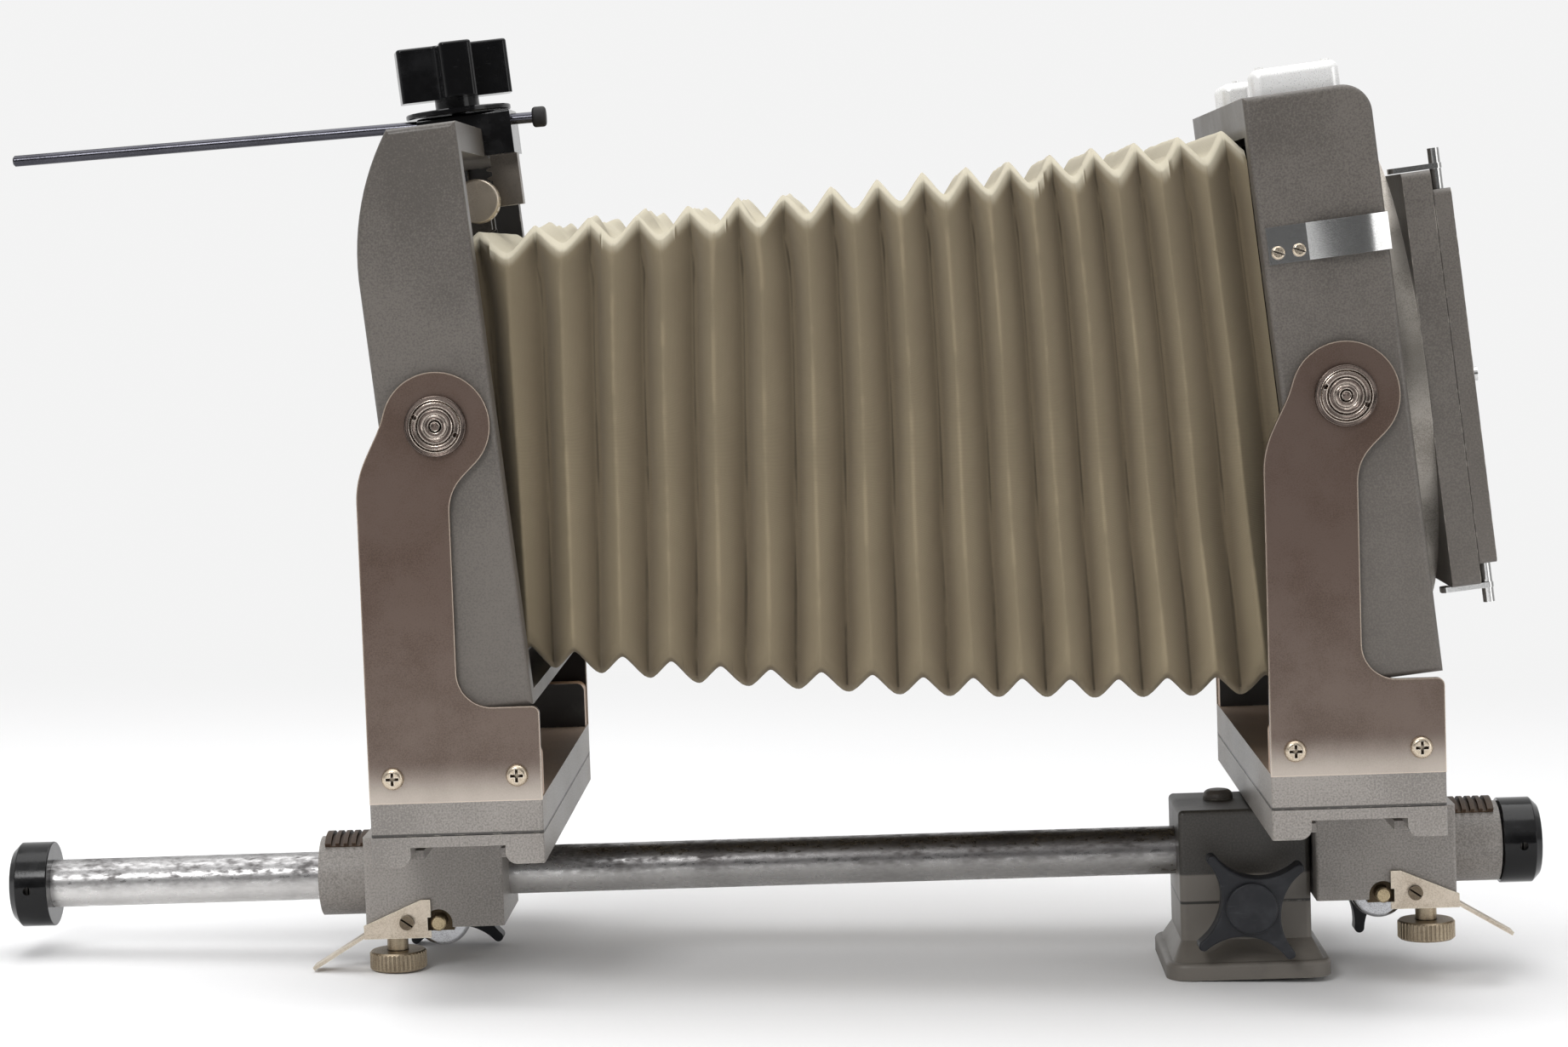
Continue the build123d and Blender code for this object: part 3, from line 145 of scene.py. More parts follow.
class Graph:
    """A node tree, with one way to add any node and arithmetic on the outputs."""

    def __init__(self, tree: bpy.types.NodeTree) -> None:
        """Empties the tree.

        Args:
            tree: The node tree of a material or a world.
        """
        tree.nodes.clear()
        self.tree = tree

    @staticmethod
    def _socket(sockets: Any, name: str | int) -> bpy.types.NodeSocket:
        """Finds a socket.

        Args:
            sockets: A node's inputs or outputs.
            name: The socket's identifier, name or number.

        Returns:
            The socket.
        """
        if isinstance(name, int):
            return sockets[name]
        for socket in sockets:
            if socket.identifier == name:
                return socket
        return sockets[name]

    def node(
        self,
        kind: str,
        settings: dict[str, Any] | None = None,
        inputs: dict[str | int, Any] | None = None,
        output: str | int = 0,
    ) -> Port:
        """Adds a node.

        Args:
            kind: The node's type.
            settings: Its properties. "stops" sets a ramp's (place, grey or colour) pairs.
            inputs: A value or a port for each input, by identifier, name or number.
            output: The identifier, name or number of the output to return.

        Returns:
            The chosen output.
        """
        made = self.tree.nodes.new(kind)
        for name, value in (settings or {}).items():
            if name == "stops":
                self._set_stops(made.color_ramp, value)
            else:
                setattr(made, name, value)
        for name, value in (inputs or {}).items():
            socket = self._socket(made.inputs, name)
            if isinstance(value, Port):
                self.tree.links.new(value.socket, socket)
            elif socket.type == "RGBA":
                socket.default_value = (*value, 1.0)
            else:
                socket.default_value = value
        if not made.outputs:
            return Port(self, None)
        return Port(self, self._socket(made.outputs, output))

    @staticmethod
    def _set_stops(ramp: bpy.types.ColorRamp, stops: Sequence[tuple[float, Any]]) -> None:
        """Replaces a ramp's stops.

        Args:
            ramp: The ramp.
            stops: Places from 0 to 1, each with a colour or one grey number.
        """
        while len(ramp.elements) > 1:
            ramp.elements.remove(ramp.elements[-1])
        for index, (place, color) in enumerate(stops):
            stop = ramp.elements[0] if index == 0 else ramp.elements.new(place)
            stop.position = place
            tint = (color, color, color) if isinstance(color, (int, float)) else color
            stop.color = (*tint, 1.0)

    def combine(self, operation: str, first: Any, second: Any) -> Port:
        """Does arithmetic on two values, at least one of which is a port.

        Args:
            operation: The maths node's operation.
            first: The first value.
            second: The second value.

        Returns:
            The result.
        """
        settings = {"operation": operation}
        if not any(self._is_vector(value) for value in (first, second)):
            return self.node("ShaderNodeMath", settings, {0: first, 1: second})
        values = {}
        for index, value in enumerate((first, second)):
            values[index] = (value, value, value) if isinstance(value, (int, float)) else value
        return self.node("ShaderNodeVectorMath", settings, values)

    @staticmethod
    def _is_vector(value: Any) -> bool:
        """Says whether a value is a vector or a port that gives one."""
        return isinstance(value, Vector) or (isinstance(value, Port) and value.socket.type != "VALUE")

    def mix(self, factor: Port, low: Any, high: Any) -> Port:
        """Mixes two colours.

        Args:
            factor: 0 for the first colour, 1 for the second.
            low: The first colour, or a port.
            high: The second colour, or a port.

        Returns:
            The mixed colour.
        """
        values = {"Factor_Float": factor, "A_Color": low, "B_Color": high}
        return self.node("ShaderNodeMix", {"data_type": "RGBA"}, values, "Result_Color")

    def ramp(self, value: Port, *stops: tuple[float, Any]) -> Port:
        """Maps a number to a grey or a colour through a ramp.

        Args:
            value: The number.
            *stops: Places from 0 to 1, each with a grey or a colour.

        Returns:
            The colour.
        """
        return self.node("ShaderNodeValToRGB", {"stops": stops}, {"Fac": value})

    def level(self, value: Port, low: float, high: float) -> Port:
        """Stretches a number so that low becomes 0 and high becomes 1, and clips it.

        Args:
            value: The number.
            low: What becomes 0.
            high: What becomes 1.

        Returns:
            The stretched number.
        """
        values = {"Value": value, "From Min": low, "From Max": high}
        return self.node("ShaderNodeMapRange", {"interpolation_type": "SMOOTHSTEP"}, values)

    def place(self) -> Port:
        """The point on the surface, in metres."""
        return self.node("ShaderNodeTexCoord", output="Object")

    def part(self, vector: Port, axis: str) -> Port:
        """A vector's X, Y or Z."""
        return self.node("ShaderNodeSeparateXYZ", inputs={"Vector": vector}, output=axis)

    def height(self) -> Port:
        """The point's height, in metres."""
        return self.part(self.place(), "Z")

    def facing(self, axis: str) -> Port:
        """How much the surface looks along an axis, from -1 to 1."""
        return self.part(self.node("ShaderNodeTexCoord", output="Normal"), axis)

    def noise(self, scale: float, detail: float = 2.0, stretch: Triple = (1, 1, 1)) -> Port:
        """A smooth random pattern around 0.5.

        Args:
            scale: Waves per metre.
            detail: How many finer layers it has.
            stretch: The scale's factors along X, Y and Z.

        Returns:
            The pattern.
        """
        vector = self.place() * Vector(stretch)
        values = {"Vector": vector, "Scale": scale, "Detail": detail, "Roughness": 0.6}
        return self.node("ShaderNodeTexNoise", inputs=values)

    def edge(self, radius: float) -> Port:
        """How sharply the surface turns nearby.

        Args:
            radius: How far around the point it looks.

        Returns:
            0 on flat parts, up to 1 at sharp edges.
        """
        rounded = self.node("ShaderNodeBevel", {"samples": 4}, {"Radius": radius})
        values = {0: rounded, 1: self.node("ShaderNodeNewGeometry", output="Normal")}
        same = self.node("ShaderNodeVectorMath", {"operation": "DOT_PRODUCT"}, values, "Value")
        return self.level(1.0 - same, 0.03, 0.25)

    def facing_middle(self) -> Port:
        """1 where the surface looks towards the model's middle plane, 0 elsewhere."""
        across = self.part(self.place(), "Y")
        return self.level(across * self.facing("Y"), -0.03, -0.06)

    def hollow(self, reach: float) -> Port:
        """How deep in a hollow or a groove the surface lies.

        Args:
            reach: How far around the point it looks.

        Returns:
            0 in the open, up to 1 deep inside.
        """
        settings = {"samples": 8, "only_local": True}
        open_air = self.node("ShaderNodeAmbientOcclusion", settings, {"Distance": reach}, "AO")
        return self.level(1.0 - open_air, 0.10, 0.50)

    def rings(self, axis: tuple[float, float], pitch: float) -> Port:
        """Round grooves about a line across the model.

        Args:
            axis: The line's X and Z.
            pitch: From one groove to the next.

        Returns:
            0 in the grooves, 1 between them.
        """
        flat = (self.place() - Vector((axis[0], 0, axis[1]))) * Vector((1, 0, 1))
        away = self.node("ShaderNodeVectorMath", {"operation": "LENGTH"}, {0: flat}, "Value")
        wave = self.node("ShaderNodeMath", {"operation": "COSINE"}, {0: away * (math.tau / pitch)})
        return wave * 0.5 + 0.5

    def bump(self, height: Port, distance: float, strength: float = 1.0) -> Port:
        """A normal that follows small heights.

        Args:
            height: The heights, from 0 to 1.
            distance: What a height of 1 stands for.
            strength: How much of it shows.

        Returns:
            The normal.
        """
        values = {"Height": height, "Distance": distance, "Strength": strength}
        return self.node("ShaderNodeBump", inputs=values)

    def principled(self, inputs: dict[str | int, Any]) -> Port:
        """A principled shader with these inputs."""
        return self.node("ShaderNodeBsdfPrincipled", inputs=inputs)


# ---- finishes
@dataclass(frozen=True)
class Finish:
    """A surface finish, which makes its material once."""

    name: str

    def material(self) -> bpy.types.Material:
        """Makes the material, or finds it.

        Returns:
            The material.
        """
        label = "finish_" + self.name
        found = bpy.data.materials.get(label)
        if found:
            return found
        made = bpy.data.materials.new(label)
        made.use_nodes = True
        graph = Graph(made.node_tree)
        graph.node("ShaderNodeOutputMaterial", inputs={"Surface": self.shader(graph)})
        return made

    def shader(self, graph: Graph) -> Port:
        """The finish's shader."""
        raise NotImplementedError


@dataclass(frozen=True)
class Paint(Finish):
    """Sprayed enamel with a fine texture, handling marks and worn edges.

    Lift lightens it by lift_gain from the first to the second height of lift_span. Inside is the
    colour above floor, inner that of sides that face the middle, and gap_shadow the height of a
    painted shadow line in a gap between parts.
    """

    color: Color
    bare: Color
    roughness: float = 0.45
    wear: float = 0.6
    lift: float = 0.0
    lift_span: tuple[float, float] = (0.30, 0.10)
    lift_gain: float = 1.5
    inside: Color | None = None
    inner: Color | None = None
    floor: float = 0.0
    floor_edge: tuple[float, float] = (0.0004, 0.0001)
    gap_shadow: float = 0.0
    gap_shadow_reach: float = 0.0007
    gap_shadow_core: float = 0.0003
    chip_reach: float = 0.0007
    texture: float = 0.00009

    def shader(self, graph: Graph) -> Port:
        """Builds the paint.

        Args:
            graph: The material's graph.

        Returns:
            The shader.
        """
        cloud = graph.noise(18, 4)
        speck = graph.noise(1500, 1)
        grain = graph.level(speck * 0.55 + cloud * 0.45, 0.36, 0.64)
        tone = graph.mix(grain, shade(self.color, 0.74), shade(self.color, 1.24))
        tone = self.lightened_and_tinted(graph, tone, cloud)
        grime = graph.level(graph.noise(60, 5), 0.52, 0.8)
        tone = graph.mix(grime * 0.25, tone, shade(self.color, 0.6))
        # painted shadow: a near-black line in the gap between two parts at this height
        if self.gap_shadow:
            height, far, near = graph.height(), self.gap_shadow_reach, self.gap_shadow_core
            above = graph.level(height, self.gap_shadow + far, self.gap_shadow + near)
            below = graph.level(height, self.gap_shadow - far, self.gap_shadow - near)
            tone = graph.mix(above * below * 0.9, tone, shade(self.color, 0.12))
        chipped = graph.level(graph.noise(240, 4), 0.50, 0.62)
        worn = graph.edge(self.chip_reach) * chipped * self.wear
        tone = graph.mix(worn, tone, self.bare)
        dull = graph.level(cloud, 0.3, 0.7) * 0.14 + (self.roughness - 0.07)
        skin = graph.bump(graph.noise(1100, 2), self.texture, 0.5)
        inputs = {"Base Color": tone, "Roughness": dull, "Metallic": worn * 0.8, "Normal": skin}
        return graph.principled(inputs | {"Specular IOR Level": 0.45})

    def lightened_and_tinted(self, graph: Graph, tone: Port, cloud: Port) -> Port:
        """Lightens the low parts and tints the inside.

        Args:
            graph: The material's graph.
            tone: The colour so far.
            cloud: A soft pattern.

        Returns:
            The new colour.
        """
        # lift lightens the lower part; on the tripod block the dark part above it is a painted shadow
        if self.lift:
            low = graph.level(graph.height(), *self.lift_span) * self.lift
            tone = graph.mix(low, tone, shade(self.color, self.lift_gain))
        if self.inside:
            below, near = self.floor_edge
            above = graph.level(graph.height(), self.floor - below, self.floor - near)
            tone = graph.mix(above, tone, graph.mix(cloud, shade(self.inside, 0.6), self.inside))
        if self.inner:
            tone = graph.mix(graph.facing_middle(), tone, self.inner)
        return tone


class Brush(Enum):
    """How a metal's fine scratches are drawn out along X, Y and Z."""

    MOTTLED = (0.12, 0.3, 0.3)
    NONE = (1.0, 1.0, 1.0)


@dataclass(frozen=True)
class Metal(Finish):
    """Bare metal with fine scratches and stains, and painted highlights along its edges.

    Low is its colour, a painted reflection of the floor, from the first to the second height of
    reflection_span, and fade is the share of it that starts fade_reach higher. Over shaded_span of X
    it darkens as painted shade, and recess_shade is how far a hollow may reach for painted shade in
    recesses. A turned face has grooves about axis, at pitch.
    """

    color: Color
    stain_and_shade: Color
    roughness: float = 0.3
    brush: Brush = Brush.NONE
    scratch: float = 0.5
    mottle: float = 0.3
    metallic: float = 1.0
    low: Color | None = None
    reflection_span: tuple[float, float] = (0.0, 0.0)
    fade: float = 0.0
    fade_reach: float = 0.07
    shaded_span: tuple[float, float] | None = None
    inner: Color | None = None
    edge: Color | None = None
    recess_shade: float = 0.0
    axis: tuple[float, float] | None = None
    pitch: float = 0.0026
    groove: float = 0.0006
    scratch_depth: float = 0.00002

    def shader(self, graph: Graph) -> Port:
        """Builds the metal.

        Args:
            graph: The material's graph.

        Returns:
            The shader.
        """
        streak = graph.noise(2200, 2, self.brush.value)
        cloud = graph.noise(45, 5)
        spots = graph.level(cloud * 0.6 + streak * 0.4, 0.42, 0.66)
        tone = graph.mix(spots * self.mottle, self.color, self.stain_and_shade)
        tone = self.reflections_and_shade(graph, tone, cloud)
        # painted highlight: edges lightened towards the edge colour, or a brighter copy of the metal's
        # colour
        rubbed_and_lit = graph.edge(0.0009) * 0.9 if self.edge else graph.edge(0.0005) * 0.6
        tone = graph.mix(rubbed_and_lit, tone, self.edge or shade(self.color, 1.7))
        # painted shade: hollows and recesses darkened almost to black
        if self.recess_shade:
            tone = graph.mix(graph.hollow(self.recess_shade), tone, shade(self.stain_and_shade, 0.12))
        dull = graph.level(streak, 0.3, 0.7) * (0.22 * self.scratch) + self.roughness
        dull = dull + spots * (0.15 * self.mottle)
        if self.axis:
            turned = graph.rings(self.axis, self.pitch)
            lines = graph.bump(turned + streak * 0.01, self.groove, 1.0)
        else:
            lines = graph.bump(streak, self.scratch_depth, self.scratch)
        inputs = {"Base Color": tone, "Roughness": dull, "Normal": lines}
        return graph.principled(inputs | {"Metallic": self.metallic})

    def reflections_and_shade(self, graph: Graph, tone: Port, cloud: Port) -> Port:
        """Paints shade along X, lightens it lower down as a painted floor reflection and darkens its
        inner side.

        Args:
            graph: The material's graph.
            tone: The colour so far.
            cloud: A soft pattern.

        Returns:
            The new colour.
        """
        # painted shade: darker along X, standing for the dark reflection under the bellows
        shaded = 0.0
        if self.shaded_span:
            shaded = graph.level(graph.part(graph.place(), "X"), *self.shaded_span)
            tone = graph.mix(shaded * 0.6, tone, self.stain_and_shade)
        # painted reflection of the floor: lighter lower down
        if self.low:
            start, end = self.reflection_span
            share = graph.level(graph.height(), start, end) * (1.0 - self.fade)
            share = share + graph.level(graph.height(), start + self.fade_reach, start) * self.fade
            share = share * (1.0 - shaded * 0.45)
            tone = graph.mix(share * (1.15 - cloud * 0.4), tone, self.low)
        if self.inner:
            tone = graph.mix(graph.facing_middle(), tone, self.inner)
        return tone


@dataclass(frozen=True)
class Plastic(Finish):
    """Moulded plastic with hairline scratches, dust and dulled edges."""

    color: Color
    dust: Color
    roughness: float = 0.3
    shine: float = 0.3
    wear: float = 0.3
    texture: float = 0.00003

    def shader(self, graph: Graph) -> Port:
        """Builds the plastic.

        Args:
            graph: The material's graph.

        Returns:
            The shader.
        """
        scratch = graph.level(graph.noise(900, 3, (0.15, 1.0, 1.0)), 0.60, 0.74)
        cloud = graph.noise(70, 4)
        dusty = graph.level(cloud, 0.45, 0.75) * 0.35 + scratch * 0.25
        worn = graph.edge(0.0005) * self.wear
        tone = graph.mix((dusty + worn) * 0.6, self.color, self.dust)
        dull = dusty * 0.25 + self.roughness
        skin = graph.bump(graph.noise(700, 2), self.texture, 0.6)
        inputs = {"Base Color": tone, "Roughness": dull, "Normal": skin}
        return graph.principled(inputs | {"Specular IOR Level": self.shine})


@dataclass(frozen=True)
class Cloth(Finish):
    """Coated bellows cloth: a tight weave, pale on the folds partly from rubbing and partly as painted
    light, and dark between them as painted shade.

    Top is its colour where it faces up, a painted light on the upward side, and it darkens over
    dark_span's heights.
    """

    ridge: Color
    valley: Color
    top: Color
    weave: float = 520.0
    texture: float = 0.0002
    dark_span: tuple[float, float] = (0.10, 0.28)

    def shader(self, graph: Graph) -> Port:
        """Builds the cloth.

        Args:
            graph: The material's graph.

        Returns:
            The shader.
        """
        sheet = graph.node("ShaderNodeUVMap", {"uv_map": "cloth"})
        waves = []
        for direction in ("X", "Y"):
            settings = {"bands_direction": direction, "wave_profile": "SIN"}
            values = {"Vector": sheet, "Scale": self.weave, "Distortion": 0.6}
            waves.append(graph.node("ShaderNodeTexWave", settings, values, "Fac"))
        weave = waves[0] * waves[1]
        fold = graph.node("ShaderNodeAttribute", {"attribute_name": "fold"}, output="Fac")
        cloud = graph.noise(30, 4)
        # the pale folds and darker valleys are partly rubbed wear and partly painted light and shade
        rubbed_and_lit = graph.level(fold * 0.75 + cloud * 0.35, 0.30, 1.0)
        tone = graph.mix(rubbed_and_lit, self.valley, self.ridge)
        high = graph.level(graph.height(), *self.dark_span)
        tone = graph.mix(high * 0.3, tone, shade(self.ridge, 0.5))
        # painted shade: dark lines in the valleys
        crease = graph.level(fold, 0.11, 0.02) * graph.level(cloud, 0.30, 0.52)
        tone = graph.mix(crease * 0.85, tone, shade(self.valley, 0.35))
        # partly rubbed wear, partly a painted highlight along the crests
        worn = graph.level(fold, 0.88, 1.0) * graph.level(cloud, 0.45, 0.60)
        tone = graph.mix(worn * 0.35, tone, shade(self.ridge, 1.5))
        smudged = graph.level(graph.noise(9, 3, (1.0, 1.0, 0.4)), 0.42, 0.70)
        tone = graph.mix(smudged * 0.30, tone, shade(self.ridge, 0.78))
        # painted light: the cloth lightened where it faces up
        lit_top = graph.level(graph.facing("Z"), 0.15, 0.75)
        tone = graph.mix(lit_top * 0.75, tone, self.top)
        tone = graph.mix(weave * 0.16, tone, shade(self.valley, 0.45))
        skin = graph.bump(weave * 0.5 + graph.noise(600, 3) * 0.5, self.texture, 0.55)
        dull = rubbed_and_lit * -0.12 + 0.86
        inputs = {"Base Color": tone, "Roughness": dull, "Normal": skin}
        sheen = {"Sheen Weight": 0.12, "Sheen Roughness": 0.5, "Specular IOR Level": 0.25}
        return graph.principled(inputs | sheen)


@dataclass(frozen=True)
class Glass(Finish):
    """Ground glass or a tinted vial: light passes through a finely rough face."""

    color: Color
    roughness: float = 0.4
    clear: float = 0.6
    frost: float = 0.00001

    def shader(self, graph: Graph) -> Port:
        """Builds the glass.

        Args:
            graph: The material's graph.

        Returns:
            The shader.
        """
        skin = graph.bump(graph.noise(2500, 1), self.frost)
        smear = graph.level(graph.noise(40, 4), 0.4, 0.7)
        tone = graph.mix(smear * 0.2, self.color, shade(self.color, 0.8))
        dull = smear * 0.08 + self.roughness
        inputs = {"Base Color": tone, "Roughness": dull, "Normal": skin}
        return graph.principled(inputs | {"Transmission Weight": self.clear, "IOR": 1.5})


@dataclass(frozen=True)
class Backdrop(Finish):
    """Pale paper: it takes shadows near the object and fades to plain white behind it.

    Fade is the stretch of Y over which the glow takes over.
    """

    color: Color
    white: float = 0.9
    fade: tuple[float, float] = (0.15, 0.9)

    def shader(self, graph: Graph) -> Port:
        """Builds the paper.

        Args:
            graph: The material's graph.

        Returns:
            The shader.
        """
        fibre = graph.noise(900, 2)
        tone = graph.mix(fibre, self.color, shade(self.color, 0.97))
        paper = graph.principled({"Base Color": tone, "Roughness": 0.9, "Specular IOR Level": 0.1})
        white = (self.white, self.white, self.white)
        glow = graph.node("ShaderNodeEmission", inputs={"Color": white, "Strength": 1.0})
        seen = graph.node("ShaderNodeLightPath", output="Is Camera Ray")
        for ray in ("Is Glossy Ray", "Is Transmission Ray"):
            seen = seen + graph.node("ShaderNodeLightPath", output=ray)
        far = graph.level(graph.part(graph.place(), "Y"), *self.fade) * seen
        return graph.node("ShaderNodeMixShader", inputs={0: far, 1: paper, 2: glow})


FRAME_PAINT = Paint(
    "frame_paint", srgb(89, 84, 79), srgb(196, 190, 180), 0.42, 0.8, lift=0.4, inner=srgb(38, 36, 35)
)
BASE_PAINT = Paint("base_paint", srgb(138, 133, 128), srgb(196, 190, 180))
PANEL_PAINT = Paint("panel_paint", srgb(70, 66, 62), srgb(150, 146, 138), 0.5, 0.4)
CREAM_NICKEL = Metal("cream_nickel", srgb(212, 200, 184), srgb(146, 128, 104), 0.34, mottle=0.5)
ALUMINIUM = Metal("turned_aluminium", srgb(188, 186, 182), srgb(120, 116, 110), 0.34)
CHROME = Metal("chrome", srgb(186, 187, 190), srgb(96, 94, 92), 0.12, scratch=0.3, mottle=0.6)
BRIGHT = Metal("bright_casting", srgb(250, 250, 249), srgb(190, 188, 184), 0.25, metallic=0.4)
SCREW = Metal(
    "screw_nickel",
    srgb(204, 190, 170),
    srgb(120, 100, 82),
    0.22,
    # painted highlight on the head's rim, and painted shade in its recess
    edge=srgb(240, 230, 216),
    recess_shade=0.0016,
)
# recess_shade gives these parts painted shade in their recesses
DARK_SCREW = Metal("dark_screw", srgb(64, 62, 60), srgb(34, 32, 30), 0.35, recess_shade=0.0008)
BRASS = Metal("brass", srgb(178, 162, 132), srgb(96, 80, 58), 0.26, mottle=0.5, recess_shade=0.0016)
KNURL = Metal("knurled_brass", srgb(176, 162, 140), srgb(90, 74, 56), 0.34, mottle=0.4, recess_shade=0.0009)
PIVOT_PIN = Metal("lever_screw", srgb(120, 108, 92), srgb(50, 42, 34), mottle=0.4, recess_shade=0.0012)
STEEL = Metal("polished_steel", srgb(206, 206, 205), srgb(110, 108, 104), 0.12, scratch=0.2, mottle=0.2)
ROD = Metal("chromed_rod", srgb(74, 74, 80), srgb(40, 39, 44), 0.14, scratch=0.2, mottle=0.4)
RING = Metal("ring_metal", srgb(150, 145, 138), srgb(84, 78, 70), 0.34, mottle=0.5)
RACK = Metal("rack_nickel", srgb(128, 121, 113), srgb(70, 64, 58), mottle=0.4)
OLD_BRASS = Metal("old_brass", srgb(86, 75, 60), srgb(46, 38, 30), 0.36, mottle=0.6)
GLOSS_BLACK = Plastic("gloss_black", srgb(12, 12, 13), srgb(60, 60, 62), 0.12, 0.28)
SLATE = Plastic("slate_plastic", srgb(30, 31, 35), srgb(92, 94, 98), 0.45, wear=0.4)
BROWN = Plastic("brown_pad", srgb(62, 46, 34), srgb(140, 122, 100), 0.5, wear=0.5)
RUBBER = Plastic("rubber", srgb(28, 27, 27), srgb(88, 86, 84), 0.6)
# the third colour is painted light on the upward-facing cloth
CLOTH = Cloth("bellows_cloth", srgb(134, 122, 99), srgb(108, 96, 77), srgb(216, 209, 188))
GROUND_GLASS = Glass("ground_glass", srgb(206, 212, 206), 0.55, 0.5)
VIAL = Glass("level_vial", srgb(196, 206, 96), 0.08, 0.7)
FLOOR = Backdrop("studio_paper", (0.92, 0.92, 0.925))


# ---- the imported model
@dataclass(frozen=True)
class TiltedAxes:
    """A standard's own axes: its X leans with it, and its origin is the tilt pivot."""

    pivot: Vector
    lean: float

    def point(self, x: float, y: float, z: float) -> Vector:
        """Takes a point from the standard's axes to the model's.

        Args:
            x: Along the standard's X.
            y: Across.
            z: Along the standard's Z.

        Returns:
            The point in the model's axes.
        """
        sine, cosine = math.sin(self.lean), math.cos(self.lean)
        return self.pivot + Vector((x * cosine - z * sine, y, x * sine + z * cosine))

    def forward(self) -> Vector:
        """The standard's X direction."""
        return Vector((math.cos(self.lean), 0.0, math.sin(self.lean)))


class Model:
    """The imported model: its nodes, joints and the standards' axes."""

    def __init__(self) -> None:
        """Loads the model and works out how far each standard leans."""
        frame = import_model()
        self.nodes: dict[str, bpy.types.Object] = frame["nodes"]
        self.joints = {joint["name"]: joint for joint in frame["joints"]}
        self.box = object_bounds()
        rise = self.joints["lens_rise"]["axis"]
        back = self.joints["glass_open"]["axis"]
        self.front = TiltedAxes(self.joint_place("front_tilt"), math.atan2(-rise[0], rise[2]))
        self.rear = TiltedAxes(self.joint_place("rear_tilt"), math.atan2(back[2], back[0]))

    def joint_place(self, name: str) -> Vector:
        """The point that a hinge turns about."""
        return Vector(self.joints[name]["pos_m"])

    def dress(self, finish: Finish, *names: str) -> None:
        """Gives nodes a finish.

        Args:
            finish: The finish.
            *names: The nodes.
        """
        material = finish.material()
        for name in names:
            node = self.nodes[name]
            if not node.material_slots:
                node.data.materials.append(material)
            for place in node.material_slots:
                place.material = material
            log.info("%s: %s", name, finish.name)


def add_mesh(
    name: str,
    points: Sequence[Vector],
    faces: Sequence[tuple[int, ...]],
    finish: Finish,
) -> bpy.types.Object:
    """Makes a smooth mesh object with a finish.

    Args:
        name: The object's name.
        points: The corners.
        faces: The faces, as numbers of corners.
        finish: The finish.

    Returns:
        The object.
    """
    mesh = bpy.data.meshes.new(name)
    mesh.from_pydata([tuple(point) for point in points], [], faces)
    mesh.polygons.foreach_set("use_smooth", [True] * len(mesh.polygons))
    mesh.materials.append(finish.material())
    made = bpy.data.objects.new(name, mesh)
    bpy.context.scene.collection.objects.link(made)
    return made


# ---- sub-assemblies
@dataclass
class TripodBlock:
    """The two-part block that clamps the rail, with its star knob."""

    model: Model
    shade_line: float = 0.0098
    shade_edge: float = 0.0010
    gap_shadow_offset: float = 0.0002

    def block_finish(self) -> Paint:
        """Dark above the clamp's lower part as a painted shadow of the parts above, paler below,
        with a painted shadow line in the gap at the foot's top.

        Returns:
            The finish of the foot and the clamp.
        """
        foot_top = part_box("tripod_foot")[1][2]
        line = foot_top + self.shade_line
        # painted shadow: the dark colour stands for the shade under the parts above, lightened below
        # line
        return Paint(
            "block_paint",
            srgb(58, 55, 51),
            srgb(176, 172, 164),
            lift=1.0,
            lift_span=(line + self.shade_edge, line),
            lift_gain=3.6,
            gap_shadow=foot_top + self.gap_shadow_offset,
        )

    def build(self) -> None:
        """Dresses the block and the knob."""
        self.model.dress(self.block_finish(), "tripod_foot", "rail_clamp")
        self.model.dress(FRAME_PAINT, "block_top_bolt")
        self.model.dress(STEEL, "clamp_stud")
        self.model.dress(SLATE, "clamp_star_knob")


@dataclass
class Rail:
    """The tube with its end caps."""

    model: Model
    bright_above: float = 0.0030
    bright_below: float = 0.0035
    shade_before: float = 0.0117
    shade_behind: float = 0.0783

    def tube_finish(self) -> Metal:
        """Scuffed metal, lighter on its lower half as a painted floor reflection, and darker behind the
        front carriage as a painted shade under the bellows.

        Returns:
            The finish of the tube.
        """
        low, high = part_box("rail_tube")
        middle = (low[2] + high[2]) / 2
        carriage_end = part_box("front_carriage_block")[1][0]
        return Metal(
            "scuffed_rail",
            srgb(168, 167, 167),
            srgb(68, 64, 63),
            0.24,
            Brush.MOTTLED,
            scratch=0.9,
            mottle=0.8,
            # painted reflection of the floor on the tube's lower half
            low=srgb(216, 214, 212),
            reflection_span=(middle + self.bright_above, middle - self.bright_below),
            # painted shade behind the front carriage, under the bellows
            shaded_span=(carriage_end - self.shade_before, carriage_end + self.shade_behind),
        )

    def build(self) -> None:
        """Dresses the tube, the caps and their screws."""
        self.model.dress(self.tube_finish(), "rail_tube")
        self.model.dress(GLOSS_BLACK, "rail_cap_front", "rail_cap_rear")
        self.model.dress(DARK_SCREW, "cap_set_screws")


class End(Enum):
    """Which of the two standards a sub-assembly belongs to."""

    FRONT = "front"
    REAR = "rear"


@dataclass
class StandardPart:
    """A sub-assembly that stands once in front and once behind."""

    model: Model
    end: End

    def name(self, part: str) -> str:
        """A part's name at this end."""
        return f"{self.end.value}_{part}"

    def dress(self, finish: Finish, *parts: str) -> None:
        """Gives parts at this end a finish."""
        self.model.dress(finish, *(self.name(part) for part in parts))


@dataclass
class Carriage(StandardPart):
    """A carriage on the rail: block, drive, release lever and tension screw."""

    def build(self) -> None:
        """Dresses the carriage."""
        self.dress(BASE_PAINT, "carriage_block")
        self.dress(BROWN, "thumb_pad")
        self.dress(OLD_BRASS, "shaft_bearings")
        self.dress(KNURL, "tension_screw")
        self.dress(PIVOT_PIN, "lever_pivot_screw")
        self.dress(BRASS, "focus_shaft")
        self.dress(CHROME, "drive_disc")
        self.dress(CREAM_NICKEL, "release_lever")
        self.dress(SLATE, "focus_knob")


